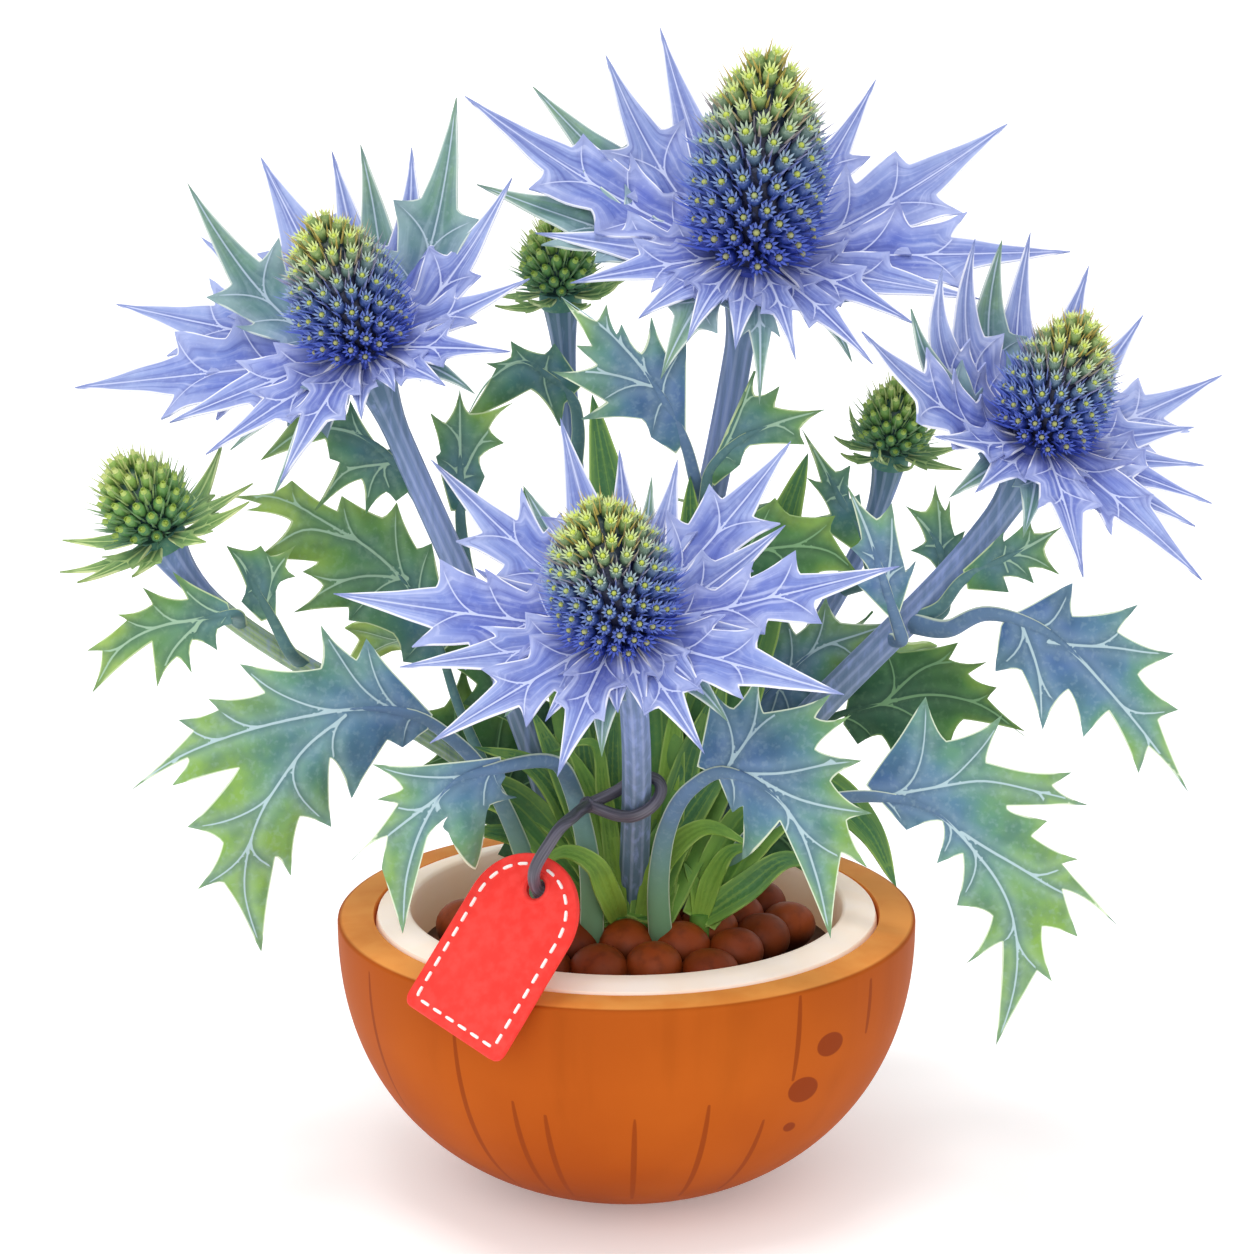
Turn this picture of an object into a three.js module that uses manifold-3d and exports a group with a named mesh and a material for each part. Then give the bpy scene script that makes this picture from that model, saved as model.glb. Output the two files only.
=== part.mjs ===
// A sea holly plant growing in half a coconut shell filled with clay pebbles, with a stitched swing tag tied to
// its front stem. Millimetres, +Z up, the front towards -Y. The origin is the centre of the shell's flat foot.
import * as THREE from "three";
import { mergeVertices } from "three/addons/utils/BufferGeometryUtils.js";
import Module from "manifold-3d";

const wasm = await Module();
wasm.setup();

// ---------------------------------------------------------------- driving dimensions
const GAP = 0.3; // air between two pieces that touch
const SLIVER = 0.3; // detail smaller than this is left out where solids join
const COARSE = 0.5; // and where many blades join
const RIM_Z = 56.4; // height of the shell's widest circle above its foot
const SHELL = { radius: 60, depth: 58, foot: 17, wall: 7.7, facets: 28, fullness: 0.9 }; // 1 is an ellipse
const FLESH = { wall: 7.2, rise: 1.4 }; // the white flesh stands a little higher at its inner edge
const PEBBLES = {
  pitch: 11.2, spread: 38.5, floor: 48, edge: 51.5, dome: 6.5, top: 4.2, shoulder: 2.6, valley: -2.2,
};
const CROWN = new THREE.Vector3(0, 0, 50); // where stems and leaf stalks start, below the pebbles' surface
const HOLE_CLEARANCE = 0.35; // round each stem and stalk in the pebbles

// The bracts leave a short collar under the cone in tiers, the outer ones lowest. Radii are shares of the cone's.
const COLLAR = {
  thick: 4, radius: 0.6, bractRoot: 0.45, facets: 9, tiers: [-1.1, -2.3], outer: -3.3, twist: 0.45,
  spines: [24, 46], // bracts longer than these have two and three spines a side
};
const STEM = { facets: 6, steps: 8, flare: 0.5, flareFrom: 0.86 };
const CONE = { footRadius: 0.86, widest: 0.27, shoulder: 1.18, point: 0.78, spike: 0.16, spikeLean: 0.5 };

const BRACT = { petiole: 0, stalk: 1, thick: 1.3, fold: 12, wave: 0, keel: true };
const BUD_BRACT = { ...BRACT, stalk: 0.8, thick: 1.2 };
// Half a bract's outline as shares of its length, for one, two and three spines a side: notch, spine, notch, spine.
const BRACT_SIDES = [
  [[0, 0.07], [0.5, 0.18], [0.47, 0.115]],
  [[0, 0.055], [0.36, 0.17], [0.37, 0.11], [0.6, 0.17], [0.58, 0.085]],
  [[0, 0.045], [0.28, 0.13], [0.3, 0.09], [0.48, 0.18], [0.49, 0.105], [0.68, 0.16], [0.66, 0.07]],
];
const SPINE_LEAN = 0.08; // how much further along its spines stand than the rib points they grow from

// A leaf's teeth stand between two shares of its length; notch is the width left between them, lean how far a
// tooth points forward, as shares of the width and of the teeth's spacing.
const LEAF = {
  teeth: 4, from: 0.08, to: 0.84, notch: 0.55, lean: 0.45, petiole: 0.3, stalk: 1.5, thick: 1.5, fold: 12, wave: 0.3,
};
// A leaf drawn by its outline is a plate; its stalk runs on along the rib by a share of it, thinner towards the tip.
const PLATE = {
  thick: 1.4, stalk: 1.4, taper: 0.35, facets: 5, steps: 4, tuck: 0.1, longest: 30, near: 4, samples: 40, finer: 5,
};
const STRAP = { ...LEAF, teeth: 0, petiole: 0, stalk: 2.2, thick: 1.6, fold: 25, wave: 0 };

// Each flower stem: its root round the crown, the radius at the root and at the neck, and its head. The head has a
// place, a lean to the right and a nod to the front in degrees, and a cone of a radius and a height.
// bracts and outer list [direction round the head, reach, rise] of each bract tip, 0 being the head's right.
const FLOWERS = {
  top: {
    root: [3, 5], radii: [3.1, 2.9], at: [25.3, 11, 194.5], lean: 4, nod: 17,
    cone: [13.2, 46], rows: 13, around: 12,
    bracts: [
      [8, 66, 0], [33, 62, 16], [60, 49, 20], [88, 44, 18], [113, 54, 25], [135, 44, 12], [156, 68, 16],
      [176, 44, -1], [198, 38, -4], [218, 28, -8], [241, 25, -10], [264, 24, -10], [290, 28, -10], [314, 36, -10],
      [338, 36, -7], [352, 47, -4],
    ],
    outer: [[22, 40, -10], [147, 60, 30], [188, 50, -6], [230, 26, -20], [278, 24, -22], [326, 26, -16]],
  },
  left: {
    root: [-9, -2], radii: [2.9, 2.5], at: [-52.5, -8.5, 179], lean: -17, nod: 15,
    cone: [11, 30.5], rows: 11, around: 11,
    bracts: [
      [12, 36, 0], [30, 43, 16], [60, 38, 24], [86, 39, 26], [104, 56, 23], [122, 57, 12], [137, 71, 3],
      [158, 67, -2], [180, 42, -4], [203, 38, -6], [240, 40, -7], [262, 20, -6], [288, 15, -5], [312, 22, -6],
      [334, 32, -4],
    ],
    outer: [[48, 46, 31], [74, 34, 28], [146, 50, 16], [190, 32, -11], [226, 34, -14], [330, 22, -12]],
  },
  right: {
    root: [10, -2], radii: [3.4, 2.8], at: [83, -8, 160.5], lean: 17, nod: 15,
    cone: [10.6, 28.5], rows: 11, around: 11,
    bracts: [
      [355, 37, -2], [14, 36, 0], [30, 37, 3], [43, 50, 9], [64, 38, 17], [86, 34, 24], [110, 34, 28],
      [142, 30, 29], [176, 30, 28], [203, 47, 19], [222, 31, 3], [244, 28, -4], [286, 41, -8], [304, 24, -3],
      [320, 46, -6], [338, 36, -3],
    ],
    outer: [[126, 30, 28], [186, 34, 20], [232, 26, -9], [272, 20, -13], [340, 24, -10]],
  },
  front: {
    root: [1, -9], radii: [3.1, 2.7], at: [-1, -51, 132.5], lean: -10, nod: 25,
    cone: [12.2, 31.5], rows: 11, around: 11,
    bracts: [
      [4, 55, 0], [25, 38, 5], [45, 54, 8], [65, 37, 12], [82, 34, 17], [98, 42, 21], [124, 60, 10],
      [143, 34, 4], [158, 60, 2], [178, 44, -2], [207, 44, -4], [225, 24, -6], [242, 34, -9], [260, 17, -7],
      [277, 20, -7], [292, 33, -9], [309, 22, -6], [327, 48, -4], [346, 28, -2],
    ],
    outer: [[74, 36, 8], [112, 42, 8], [192, 26, -13], [250, 22, -14], [316, 24, -14]],
  },
};

// The three green buds have an even ring of narrow bracts in place of the lists.
const BUDS = {
  bud_left: {
    root: [-9, 9], radii: [2.3, 2], at: [-94, -12, 142], lean: -24, nod: 12,
    cone: [8.4, 18.5], rows: 7, around: 8,
    ring: { count: 10, reach: 20, seed: 5 },
  },
  bud_mid: {
    root: [-4, 11], radii: [2.2, 2], at: [-14, 40, 181], lean: -4, nod: 8,
    cone: [7.4, 16.5], rows: 7, around: 8,
    ring: { count: 9, reach: 15, seed: 9 },
  },
  bud_right: {
    root: [9, 8], radii: [2.2, 2], at: [55, 26, 150], lean: 7, nod: 8,
    cone: [6.8, 16], rows: 7, around: 8,
    ring: { count: 9, reach: 14, seed: 14 },
  },
};

// Leaves that face the front are drawn as seen from it: rib is the stalk and midrib in space, base the rib point
// where the blade starts, tilt how far the blade comes back for each millimetre it rises, and edge its outline as
// [right, up], notch and spine in turn. The others follow a path and have even teeth.
const FRONT = [0, -0.8, 0.6];
const BACK = [0, 0.6, 0.8];
const LEAVES = {
  leaf_big_left: {
    rib: [
      [-13, -10, 52], [-35, -18, 100], [-42, -22, 106], [-53, -27, 109], [-65, -30, 108], [-79, -33, 105],
      [-91, -35, 100], [-98, -36, 95],
    ],
    base: 1, tilt: 0.35, stalk: 2,
    edge: [
      [-39, 106], [-52, 122], [-54, 118], [-61, 125], [-61, 117], [-77, 118], [-72, 113], [-83, 112],
      [-81, 110], [-89, 108], [-86, 106], [-98, 95], [-87, 101], [-90, 96], [-77, 99], [-87, 88], [-80, 85],
      [-85, 76], [-80, 77], [-73, 62], [-70, 81], [-67, 77], [-65, 89], [-59, 86], [-59, 100], [-55, 91],
      [-48, 102], [-45, 100], [-40, 103],
    ],
  },
  leaf_front_left: {
    rib: [
      [-7.5, -19, 52], [-7, -20, 66], [-8, -20.5, 78], [-11, -19.5, 90], [-16, -33, 100], [-25, -41, 101],
      [-34, -45, 99], [-40, -48, 91], [-43, -50, 82], [-44, -51, 70],
    ],
    base: 4, tilt: 0.35, stalk: 2.2,
    edge: [
      [-25, 103], [-50, 102], [-44, 98], [-49, 96], [-45, 95], [-54, 84], [-47, 89], [-48, 83], [-47, 80],
      [-44, 70], [-39, 89], [-35, 94], [-29, 88], [-28, 96], [-26, 97], [-24, 99],
    ],
  },
  leaf_front_right: {
    rib: [
      [7.5, -18.5, 52], [6.5, -24, 72], [8, -29, 84], [13, -38, 96], [19, -44, 101], [27, -48, 99],
      [33, -51, 93], [37, -53, 83], [40, -54, 70],
    ],
    base: 3, tilt: 0.3, stalk: 2.2,
    edge: [
      [14, 101], [17, 116], [21, 113], [26, 120], [27, 112], [40, 116], [37, 112], [44, 112], [37, 106],
      [46, 104], [40, 100], [48, 94], [43, 93], [47, 84], [42, 87], [40, 70], [30, 93], [23, 83], [23, 95],
      [21, 93], [18, 100],
    ],
  },
  leaf_big_right: {
    rib: [
      [16, -5, 52], [27, -18, 81], [39, -25, 89], [50, -28, 91], [61, -31, 89], [69, -34, 82], [76, -37, 72],
      [78, -39, 62], [77, -40, 52], [74, -41, 43],
    ],
    base: 2, tilt: 0.3, stalk: 2,
    edge: [
      [48, 93], [60, 110], [64, 102], [75, 107], [72, 98], [89, 96], [85, 94], [92, 90], [76, 90], [84, 87],
      [81, 84], [90, 80], [87, 79], [98, 67], [87, 74], [90, 65], [83, 67], [85, 56], [82, 58], [74, 43],
      [75, 64], [68, 60], [73, 69], [66, 71], [67, 81], [62, 79], [63, 87], [56, 85], [52, 89],
    ],
  },
  leaf_drooping: {
    rib: [
      [65, -11, 121], [72, -17, 126], [81, -22, 125], [88, -25, 121], [95, -27, 114], [102, -29, 106],
      [112, -31, 93],
    ],
    base: 1, tilt: 0.3, stalk: 1.9,
    edge: [
      [76, 126], [89, 133], [89, 127], [102, 129], [98, 124], [109, 120], [102, 116], [110, 109], [106, 107],
      [112, 93], [104, 102], [102, 97], [96, 109], [91, 104], [88, 113], [83, 105], [79, 116], [74, 115],
      [75, 124],
    ],
  },
  leaf_behind_right: {
    rib: [[15, 6.5, 52], [30, 7, 82], [42, 10, 96], [53, 11, 99], [63, 11, 101], [73, 11, 99], [83, 11, 92]],
    base: 1, tilt: 0.4,
    edge: [
      [46, 100], [53, 111], [57, 109], [69, 111], [67, 108], [75, 107], [71, 105], [77, 102], [75, 100],
      [83, 93], [70, 96], [67, 90], [62, 91], [56, 86], [53, 93], [48, 91], [45, 95],
    ],
  },
  leaf_mid_left: {
    rib: [
      [-16, -4, 52], [-26, -2, 82], [-35, 3, 102], [-39, 6, 114], [-44, 7, 124], [-52, 6, 133], [-60, 3, 139],
      [-71, -1, 146], [-82, -4, 147],
    ],
    base: 2, tilt: 0.4,
    edge: [
      [-36, 114], [-40, 134], [-43, 133], [-47, 143], [-50, 140], [-58, 145], [-59, 142], [-68, 149],
      [-72, 147], [-82, 147], [-74, 145], [-77, 144], [-68, 141], [-75, 134], [-63, 132], [-66, 130],
      [-62, 127], [-68, 122], [-57, 122], [-57, 119], [-48, 116], [-46, 110], [-40, 109],
    ],
  },
  leaf_under_left: {
    rib: [[-41, 5, 142], [-45, 6, 148], [-49, 4, 154], [-56, 2, 159], [-64, 0, 160], [-74, -2, 154]],
    base: 1, tilt: 0.4,
    edge: [
      [-43, 149], [-47, 155], [-50, 155], [-56, 165], [-57, 162], [-66, 164], [-68, 161], [-74, 154],
      [-61, 158], [-60, 154], [-58, 153], [-63, 144], [-54, 149], [-53, 142], [-49, 146], [-47, 144],
      [-44, 146],
    ],
  },
  leaf_beside_left: {
    rib: [[-33, 5, 131], [-34, 8, 139], [-34, 9, 147], [-34, 10, 155], [-34, 10, 166]],
    base: 1, tilt: 0.4,
    edge: [
      [-36, 141], [-39, 152], [-38, 153], [-40, 161], [-37, 159], [-34, 166], [-32, 161], [-23, 163],
      [-28, 158], [-25, 155], [-30, 152], [-29, 148], [-32, 141],
    ],
  },
  leaf_mid_bud: {
    rib: [[-10, 36, 151], [-11, 34, 158], [-16, 31, 164], [-22, 28, 168], [-28, 25, 165], [-34, 22, 156]],
    base: 1, tilt: 0.4,
    edge: [
      [-9, 162], [-15, 171], [-17, 169], [-24, 172], [-24, 169], [-29, 168], [-27, 167], [-34, 156],
      [-20, 162], [-14, 153], [-13, 158],
    ],
  },
  leaf_top_left: {
    rib: [[14, 7, 148], [12, 4, 156], [8, 1, 165], [3, -1, 173], [-4, -3, 181], [-13, -4, 188]],
    base: 1, tilt: 0.35,
    edge: [
      [12, 157], [12, 177], [9, 174], [5, 183], [3, 176], [-1, 182], [-2, 180], [-4, 186], [-6, 183],
      [-13, 188], [-7, 178], [-10, 178], [-6, 174], [-15, 173], [-4, 166], [-9, 163], [3, 162], [5, 158],
      [10, 154],
    ],
  },
  leaf_top_right: {
    rib: [[16, 7, 143], [17, 5, 150], [23, 3, 157], [31, 2, 161], [40, 0, 164]],
    base: 1, tilt: 0.35,
    edge: [
      [16, 149], [26, 171], [26, 166], [31, 168], [30, 164], [40, 164], [35, 160], [36, 157], [25, 156],
      [23, 152], [18, 147],
    ],
  },
  leaf_inner_right: {
    rib: [[51, 17, 125], [49, 15, 133], [44, 14, 142], [40, 13, 150], [36, 13, 157]],
    base: 1, tilt: 0.35,
    edge: [
      [50, 132], [48, 143], [46, 142], [46, 149], [43, 148], [36, 157], [40, 146], [37, 147], [42, 139],
      [38, 138], [47, 131],
    ],
  },
  leaf_narrow_right: {
    rib: [[54, -11, 119], [53, -14, 126], [51, -15, 134], [48, -15, 143], [44, -15, 152]],
    base: 1, tilt: 0.3,
    edge: [
      [55, 125], [58, 136], [56, 134], [53, 148], [50, 145], [44, 152], [47, 141], [45, 139], [49, 133],
      [45, 133], [53, 124],
    ],
  },
  leaf_right_up: {
    rib: [[65, 1, 122], [65, 2, 128], [64, 3, 134], [61, 3, 139], [57, 4, 143]],
    base: 1, tilt: 0.35,
    edge: [
      [66, 128], [69, 138], [67, 137], [66, 144], [65, 142], [63, 147], [61, 142], [57, 143], [61, 136],
      [58, 134], [62, 132], [65, 127],
    ],
  },
  leaf_right_out: {
    rib: [[64, -7, 125], [68, -9, 131], [75, -10, 135], [82, -11, 139], [88, -12, 143]],
    base: 1, tilt: 0.3,
    edge: [
      [68, 133], [76, 141], [76, 139], [81, 144], [82, 141], [88, 143], [84, 138], [87, 133], [81, 134],
      [82, 131], [76, 132], [77, 129], [69, 129],
    ],
  },
  leaf_bud_stalk: {
    rib: [[-79, -16.5, 126], [-86, -18, 125], [-93, -19, 124], [-101, -20, 120], [-107, -22, 111]],
    base: 0, tilt: 0.35,
    edge: [
      [-80, 128], [-91, 134], [-88, 129], [-97, 131], [-95, 128], [-102, 126], [-100, 125], [-108, 119],
      [-105, 119], [-107, 111], [-95, 121], [-94, 112], [-90, 118], [-87, 115], [-87, 121], [-82, 119],
      [-82, 123], [-79, 124],
    ],
  },
  leaf_bud_upper: {
    rib: [[-69, -9, 117], [-72, -8, 123], [-75, -7, 128], [-78, -6, 134], [-81, -5, 137]],
    base: 1, tilt: 0.3,
    edge: [
      [-71, 123], [-71, 128], [-70, 130], [-67, 131], [-69, 133], [-67, 137], [-72, 135], [-74, 137],
      [-76, 136], [-81, 137], [-77, 129], [-78, 126], [-74, 122],
    ],
  },
  leaf_curled_right: {
    rib: [
      [7.5, 2.5, 52], [9, 3, 89], [13, 0, 112], [17, -4, 125], [23, -8, 135], [32, -10, 138], [41, -10, 137],
      [47, -10, 132],
    ],
    base: 2, tilt: 0.35,
    edge: [
      [15, 120], [12, 134], [17, 136], [22, 146], [25, 144], [30, 147], [33, 144], [42, 144], [41, 141],
      [47, 132], [39, 133], [35, 127], [30, 130], [25, 121], [21, 124], [18, 116],
    ],
  },
  leaf_blue_right: {
    rib: [
      [16.5, 2.5, 52], [19, 3.5, 83], [22, 4, 93], [30, 6, 103], [39, 6, 112], [48, 4, 116], [55, 2, 119],
    ],
    base: 2, tilt: 0.35,
    edge: [
      [24, 98], [26, 113], [30, 111], [32, 121], [35, 115], [41, 123], [44, 118], [55, 119], [48, 113],
      [50, 108], [44, 109], [43, 101], [37, 102], [35, 92], [29, 94], [26, 89],
    ],
  },
  leaf_dark_left: {
    rib: [[-4, -3.5, 52], [-11, 3, 73], [-18, 5.5, 87], [-25, 8, 100], [-32, 10, 113], [-39, 10, 123]],
    base: 1, tilt: 0.15,
    edge: [
      [-15, 80], [-23, 90], [-22, 95], [-34, 100], [-31, 104], [-41, 110], [-36, 113], [-39, 123], [-31, 118],
      [-21, 121], [-24, 113], [-13, 111], [-19, 102], [-7, 98], [-13, 89], [-4, 83], [-10, 76],
    ],
  },
  leaf_low_right: {
    rib: [[15.5, 13, 52], [17.5, 11.8, 66], [24, 10, 71], [32, 9, 71], [40, 7, 70]],
    base: 1, tilt: 0.4,
    edge: [
      [21, 69], [23, 79], [27, 76], [34, 82], [34, 76], [44, 78], [39, 73], [40, 70], [38, 68], [37, 64],
      [31, 66], [28, 60], [24, 64], [20, 61], [19, 65],
    ],
  },
  leaf_low_left: {
    rib: [[-16, 7, 52], [-19, 11, 62], [-24, 14.5, 74], [-32, 15.5, 86], [-40, 15, 94], [-47, 14, 97]],
    base: 1, tilt: 0.3,
    edge: [
      [-18, 62], [-27, 66], [-25, 70], [-36, 74], [-33, 79], [-44, 84], [-39, 88], [-47, 97], [-38, 97],
      [-34, 106], [-31, 98], [-23, 103], [-24, 92], [-14, 95], [-18, 84], [-11, 84], [-15, 72],
    ],
  },
  leaf_back_left: { path: [[-8, 14, 52], [-32, 40, 128], [-62, 56, 92]], width: 32, teeth: 4, face: BACK },
  leaf_back_mid: { path: [[1, 17, 52], [6, 52, 122], [4, 84, 78]], width: 32, teeth: 4, face: BACK },
  leaf_back_right: { path: [[8.5, 16, 52], [40, 44, 124], [66, 66, 84]], width: 32, teeth: 4, face: BACK },
  leaf_back_high: { path: [[20, 18, 118], [24, 34, 146], [16, 52, 134]], width: 22, teeth: 3, face: BACK },
};

// Strap leaves stand in tufts: the foot of each, and the line and width of each of its leaves.
const TUFT = { radius: 2.1, footRise: 12 };
const TUFTS = {
  straps_left: {
    root: [-1.6, -16],
    blades: [
      [[[-4, -24.5, 70], [-6.5, -26.5, 76], [-12.5, -28.5, 79.5], [-19, -29, 75.5]], 5.5],
      [[[-4.5, -15.5, 79.5], [-8.4, -14, 90.9], [-13.1, -12, 98.2]], 5.4],
      [[[-4.6, -16, 88], [-7, -17, 99], [-15.5, -17.5, 97]], 4],
      [[[-8, -10.5, 72.4], [-17.7, -8, 80.8], [-26.4, -9, 83.3]], 8],
      [[[-7, -12, 78], [-14, -8, 92], [-19.5, -6, 103]], 8.5],
      [[[-5.5, -12.5, 78], [-8.5, -11, 94], [-9.5, -11, 110]], 7],
      [[[-2.8, -13, 78], [-2.8, -12, 95], [-2, -13, 112]], 6.5],
      [[[-10, -10.5, 68], [-22, -8, 76], [-35, -9, 78]], 7],
      [[[-9, -9.5, 77], [-20, -8.5, 92], [-31, -10, 96]], 7.5],
    ],
  },
  straps_centre: {
    root: [15, -15],
    blades: [
      [[[14.5, -15, 66.4], [11.6, -15.5, 73.2]], 3.6],
      [[[18, -16.5, 71], [21.6, -19, 76.8], [27.2, -21, 78]], 4.6],
      [[[24, -17.5, 68], [33, -16.5, 74], [40, -15, 72]], 6.5],
    ],
  },
  straps_right: {
    root: [3.2, -16],
    blades: [
      [[[8.4, -18.5, 75.8], [16.5, -21, 82.3], [25.5, -23, 78.9]], 5.5],
      [[[8, -10, 84.3], [10.4, -6, 102.5], [14, -4, 113.4]], 5.4],
      [[[12, -9, 83], [17.5, -7, 98.7], [20.5, -6, 112]], 9],
      [[[8.5, -14, 76], [17, -10, 88], [24, -9, 97]], 9],
      [[[9.5, -10.5, 80], [13, -9, 94], [17, -9.5, 106]], 8.5],
    ],
  },
};

const TAG = { width: 26, length: 39.5, thick: 1.6, corner: 2, holeFromTop: 6.5, hole: 2.1 };
const TAG_EYE = new THREE.Vector3(-17.6, -47.4, 78); // centre of the tag's hole
const TAG_DOWN = new THREE.Vector3(-0.515, -0.243, -0.827); // along the tag, away from its hole
const TAG_RIGHT = new THREE.Vector3(0.73, -0.635, -0.268);
const CORD = { radius: 1.25, facets: 8, knot: 2.1, stopper: 2.6, loopGap: 0.5, share: 0.49, tilt: 2.5 };

const COLOUR = {
  shell: "#c2622a", flesh: "#fbe3cf", pebble: "#5a2c15", leaf: "#5f8f72", strap: "#7fae3d", stem: "#7484c0",
  budStem: "#8790c4", bract: "#7c87dc", cone: "#37459f", bud: "#7f9a4c", tag: "#fb4a45", cord: "#55525f",
};

// ---------------------------------------------------------------- helpers
const radians = THREE.MathUtils.degToRad;
const vector = (p) => new THREE.Vector3(...p);

// A repeatable random number from 0 to 1 for each whole number.
function noise(n) {
  const s = Math.sin(n * 12.9898) * 43758.5453;
  return s - Math.floor(s);
}

function solidOf(geometry) {
  const bare = geometry.clone();
  for (const name of Object.keys(bare.attributes)) if (name !== "position") bare.deleteAttribute(name);
  const merged = mergeVertices(bare, 1e-3);
  return new wasm.Manifold(
    new wasm.Mesh({
      numProp: 3,
      vertProperties: merged.attributes.position.array,
      triVerts: new Uint32Array(merged.index.array),
    }),
  );
}

function geometryOf(solid) {
  const mesh = solid.getMesh();
  return new THREE.BufferGeometry()
    .setAttribute("position", new THREE.BufferAttribute(new Float32Array(mesh.vertProperties), 3))
    .setIndex(new THREE.BufferAttribute(new Uint32Array(mesh.triVerts), 1));
}

// The join of several geometries, without the slivers and crumbs that a boolean leaves.
function fuse(geometries) {
  return largest(geometries.map(solidOf).reduce((a, b) => a.add(b)).simplify(SLIVER));
}

function largest(solid) {
  return solid.decompose().reduce((a, b) => (a.volume() > b.volume() ? a : b));
}

// What is left of a solid outside a neighbour's room.
function carve(solid, room) {
  return largest(solid.subtract(solidOf(room)).simplify(COARSE));
}

// A closed surface from points and triangles, turned outwards.
function surface(points, triangles) {
  const geometry = new THREE.BufferGeometry().setFromPoints(points).setIndex(triangles);
  let sixVolumes = 0;
  for (let i = 0; i < triangles.length; i += 3) {
    const [a, b, c] = triangles.slice(i, i + 3).map((k) => points[k]);
    sixVolumes += a.dot(b.clone().cross(c));
  }
  if (sixVolumes < 0) geometry.setIndex(triangles.map((_, i) => triangles[i - (i % 3) + 2 - (i % 3)]));
  return geometry;
}

// A tube along a curve with a radius that varies with the share of its length.
function tube(curve, radiusAt, facets, steps) {
  const frames = curve.computeFrenetFrames(steps, false);
  const points = [];
  for (let i = 0; i <= steps; i++) {
    const centre = curve.getPointAt(i / steps);
    for (let j = 0; j < facets; j++) {
      const a = (2 * Math.PI * j) / facets;
      const out = frames.normals[i].clone().multiplyScalar(Math.cos(a));
      out.addScaledVector(frames.binormals[i], Math.sin(a));
      points.push(centre.clone().addScaledVector(out, radiusAt(i / steps)));
    }
  }
  const triangles = [];
  for (let i = 0; i < steps; i++)
    for (let j = 0; j < facets; j++) {
      const [a, b] = [i * facets + j, i * facets + ((j + 1) % facets)];
      triangles.push(a, b, b + facets, a, b + facets, a + facets);
    }
  for (let j = 1; j + 1 < facets; j++) {
    triangles.push(0, j + 1, j);
    const last = steps * facets;
    triangles.push(last, last + j, last + j + 1);
  }
  return surface(points, triangles);
}

// A closed body through rings of as many points each, ending in a tip.
function loft(rings, tip) {
  const n = rings[0].length;
  const triangles = [];
  for (let i = 0; i + 1 < rings.length; i++)
    for (let j = 0; j < n; j++) {
      const [a, b] = [n * i + j, n * i + ((j + 1) % n)];
      // The same diagonal, from the rib at one ring to the edge at the next, on both faces.
      if (j % 2 === n % 2) triangles.push(a, b, b + n, a, b + n, a + n);
      else triangles.push(a, b, a + n, b, b + n, a + n);
    }
  const last = n * (rings.length - 1);
  for (let j = 0; j < n; j++) triangles.push(last + j, last + ((j + 1) % n), n * rings.length);
  for (let j = 1; j + 1 < n; j++) triangles.push(0, j + 1, j);
  return surface([...rings.flat(), tip], triangles);
}

// ---------------------------------------------------------------- leaves and bracts
// Half the width of a blade's outline, as a share of half its full width, at a share x of the blade's length.
const outline = (x) => Math.sin(Math.PI * Math.min(1, x) ** 0.75) ** 0.8;

// The places along a blade where its edge turns: [share along the rib, share along the edge, is it a tooth].
function stations(style) {
  if (style.shares)
    return style.shares.slice(1).map(([at, half], k) => [at - (k % 2 ? 0 : SPINE_LEAN), at, (k + 1) % 2, half]);
  const list = [];
  const pitch = (style.to - style.from) / Math.max(1, style.teeth);
  for (let k = 0; k < style.teeth; k++) {
    list.push([style.from + pitch * k, style.from + pitch * k, 0]);
    const rib = style.from + pitch * (k + 0.5 - 0.5 * style.lean);
    list.push([rib, rib + pitch * style.lean, 1]);
  }
  if (style.teeth) list.push([style.to, style.to, 0]);
  else list.push([0.3, 0.3, 1], [0.66, 0.66, 1]);
  return list;
}

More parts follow.
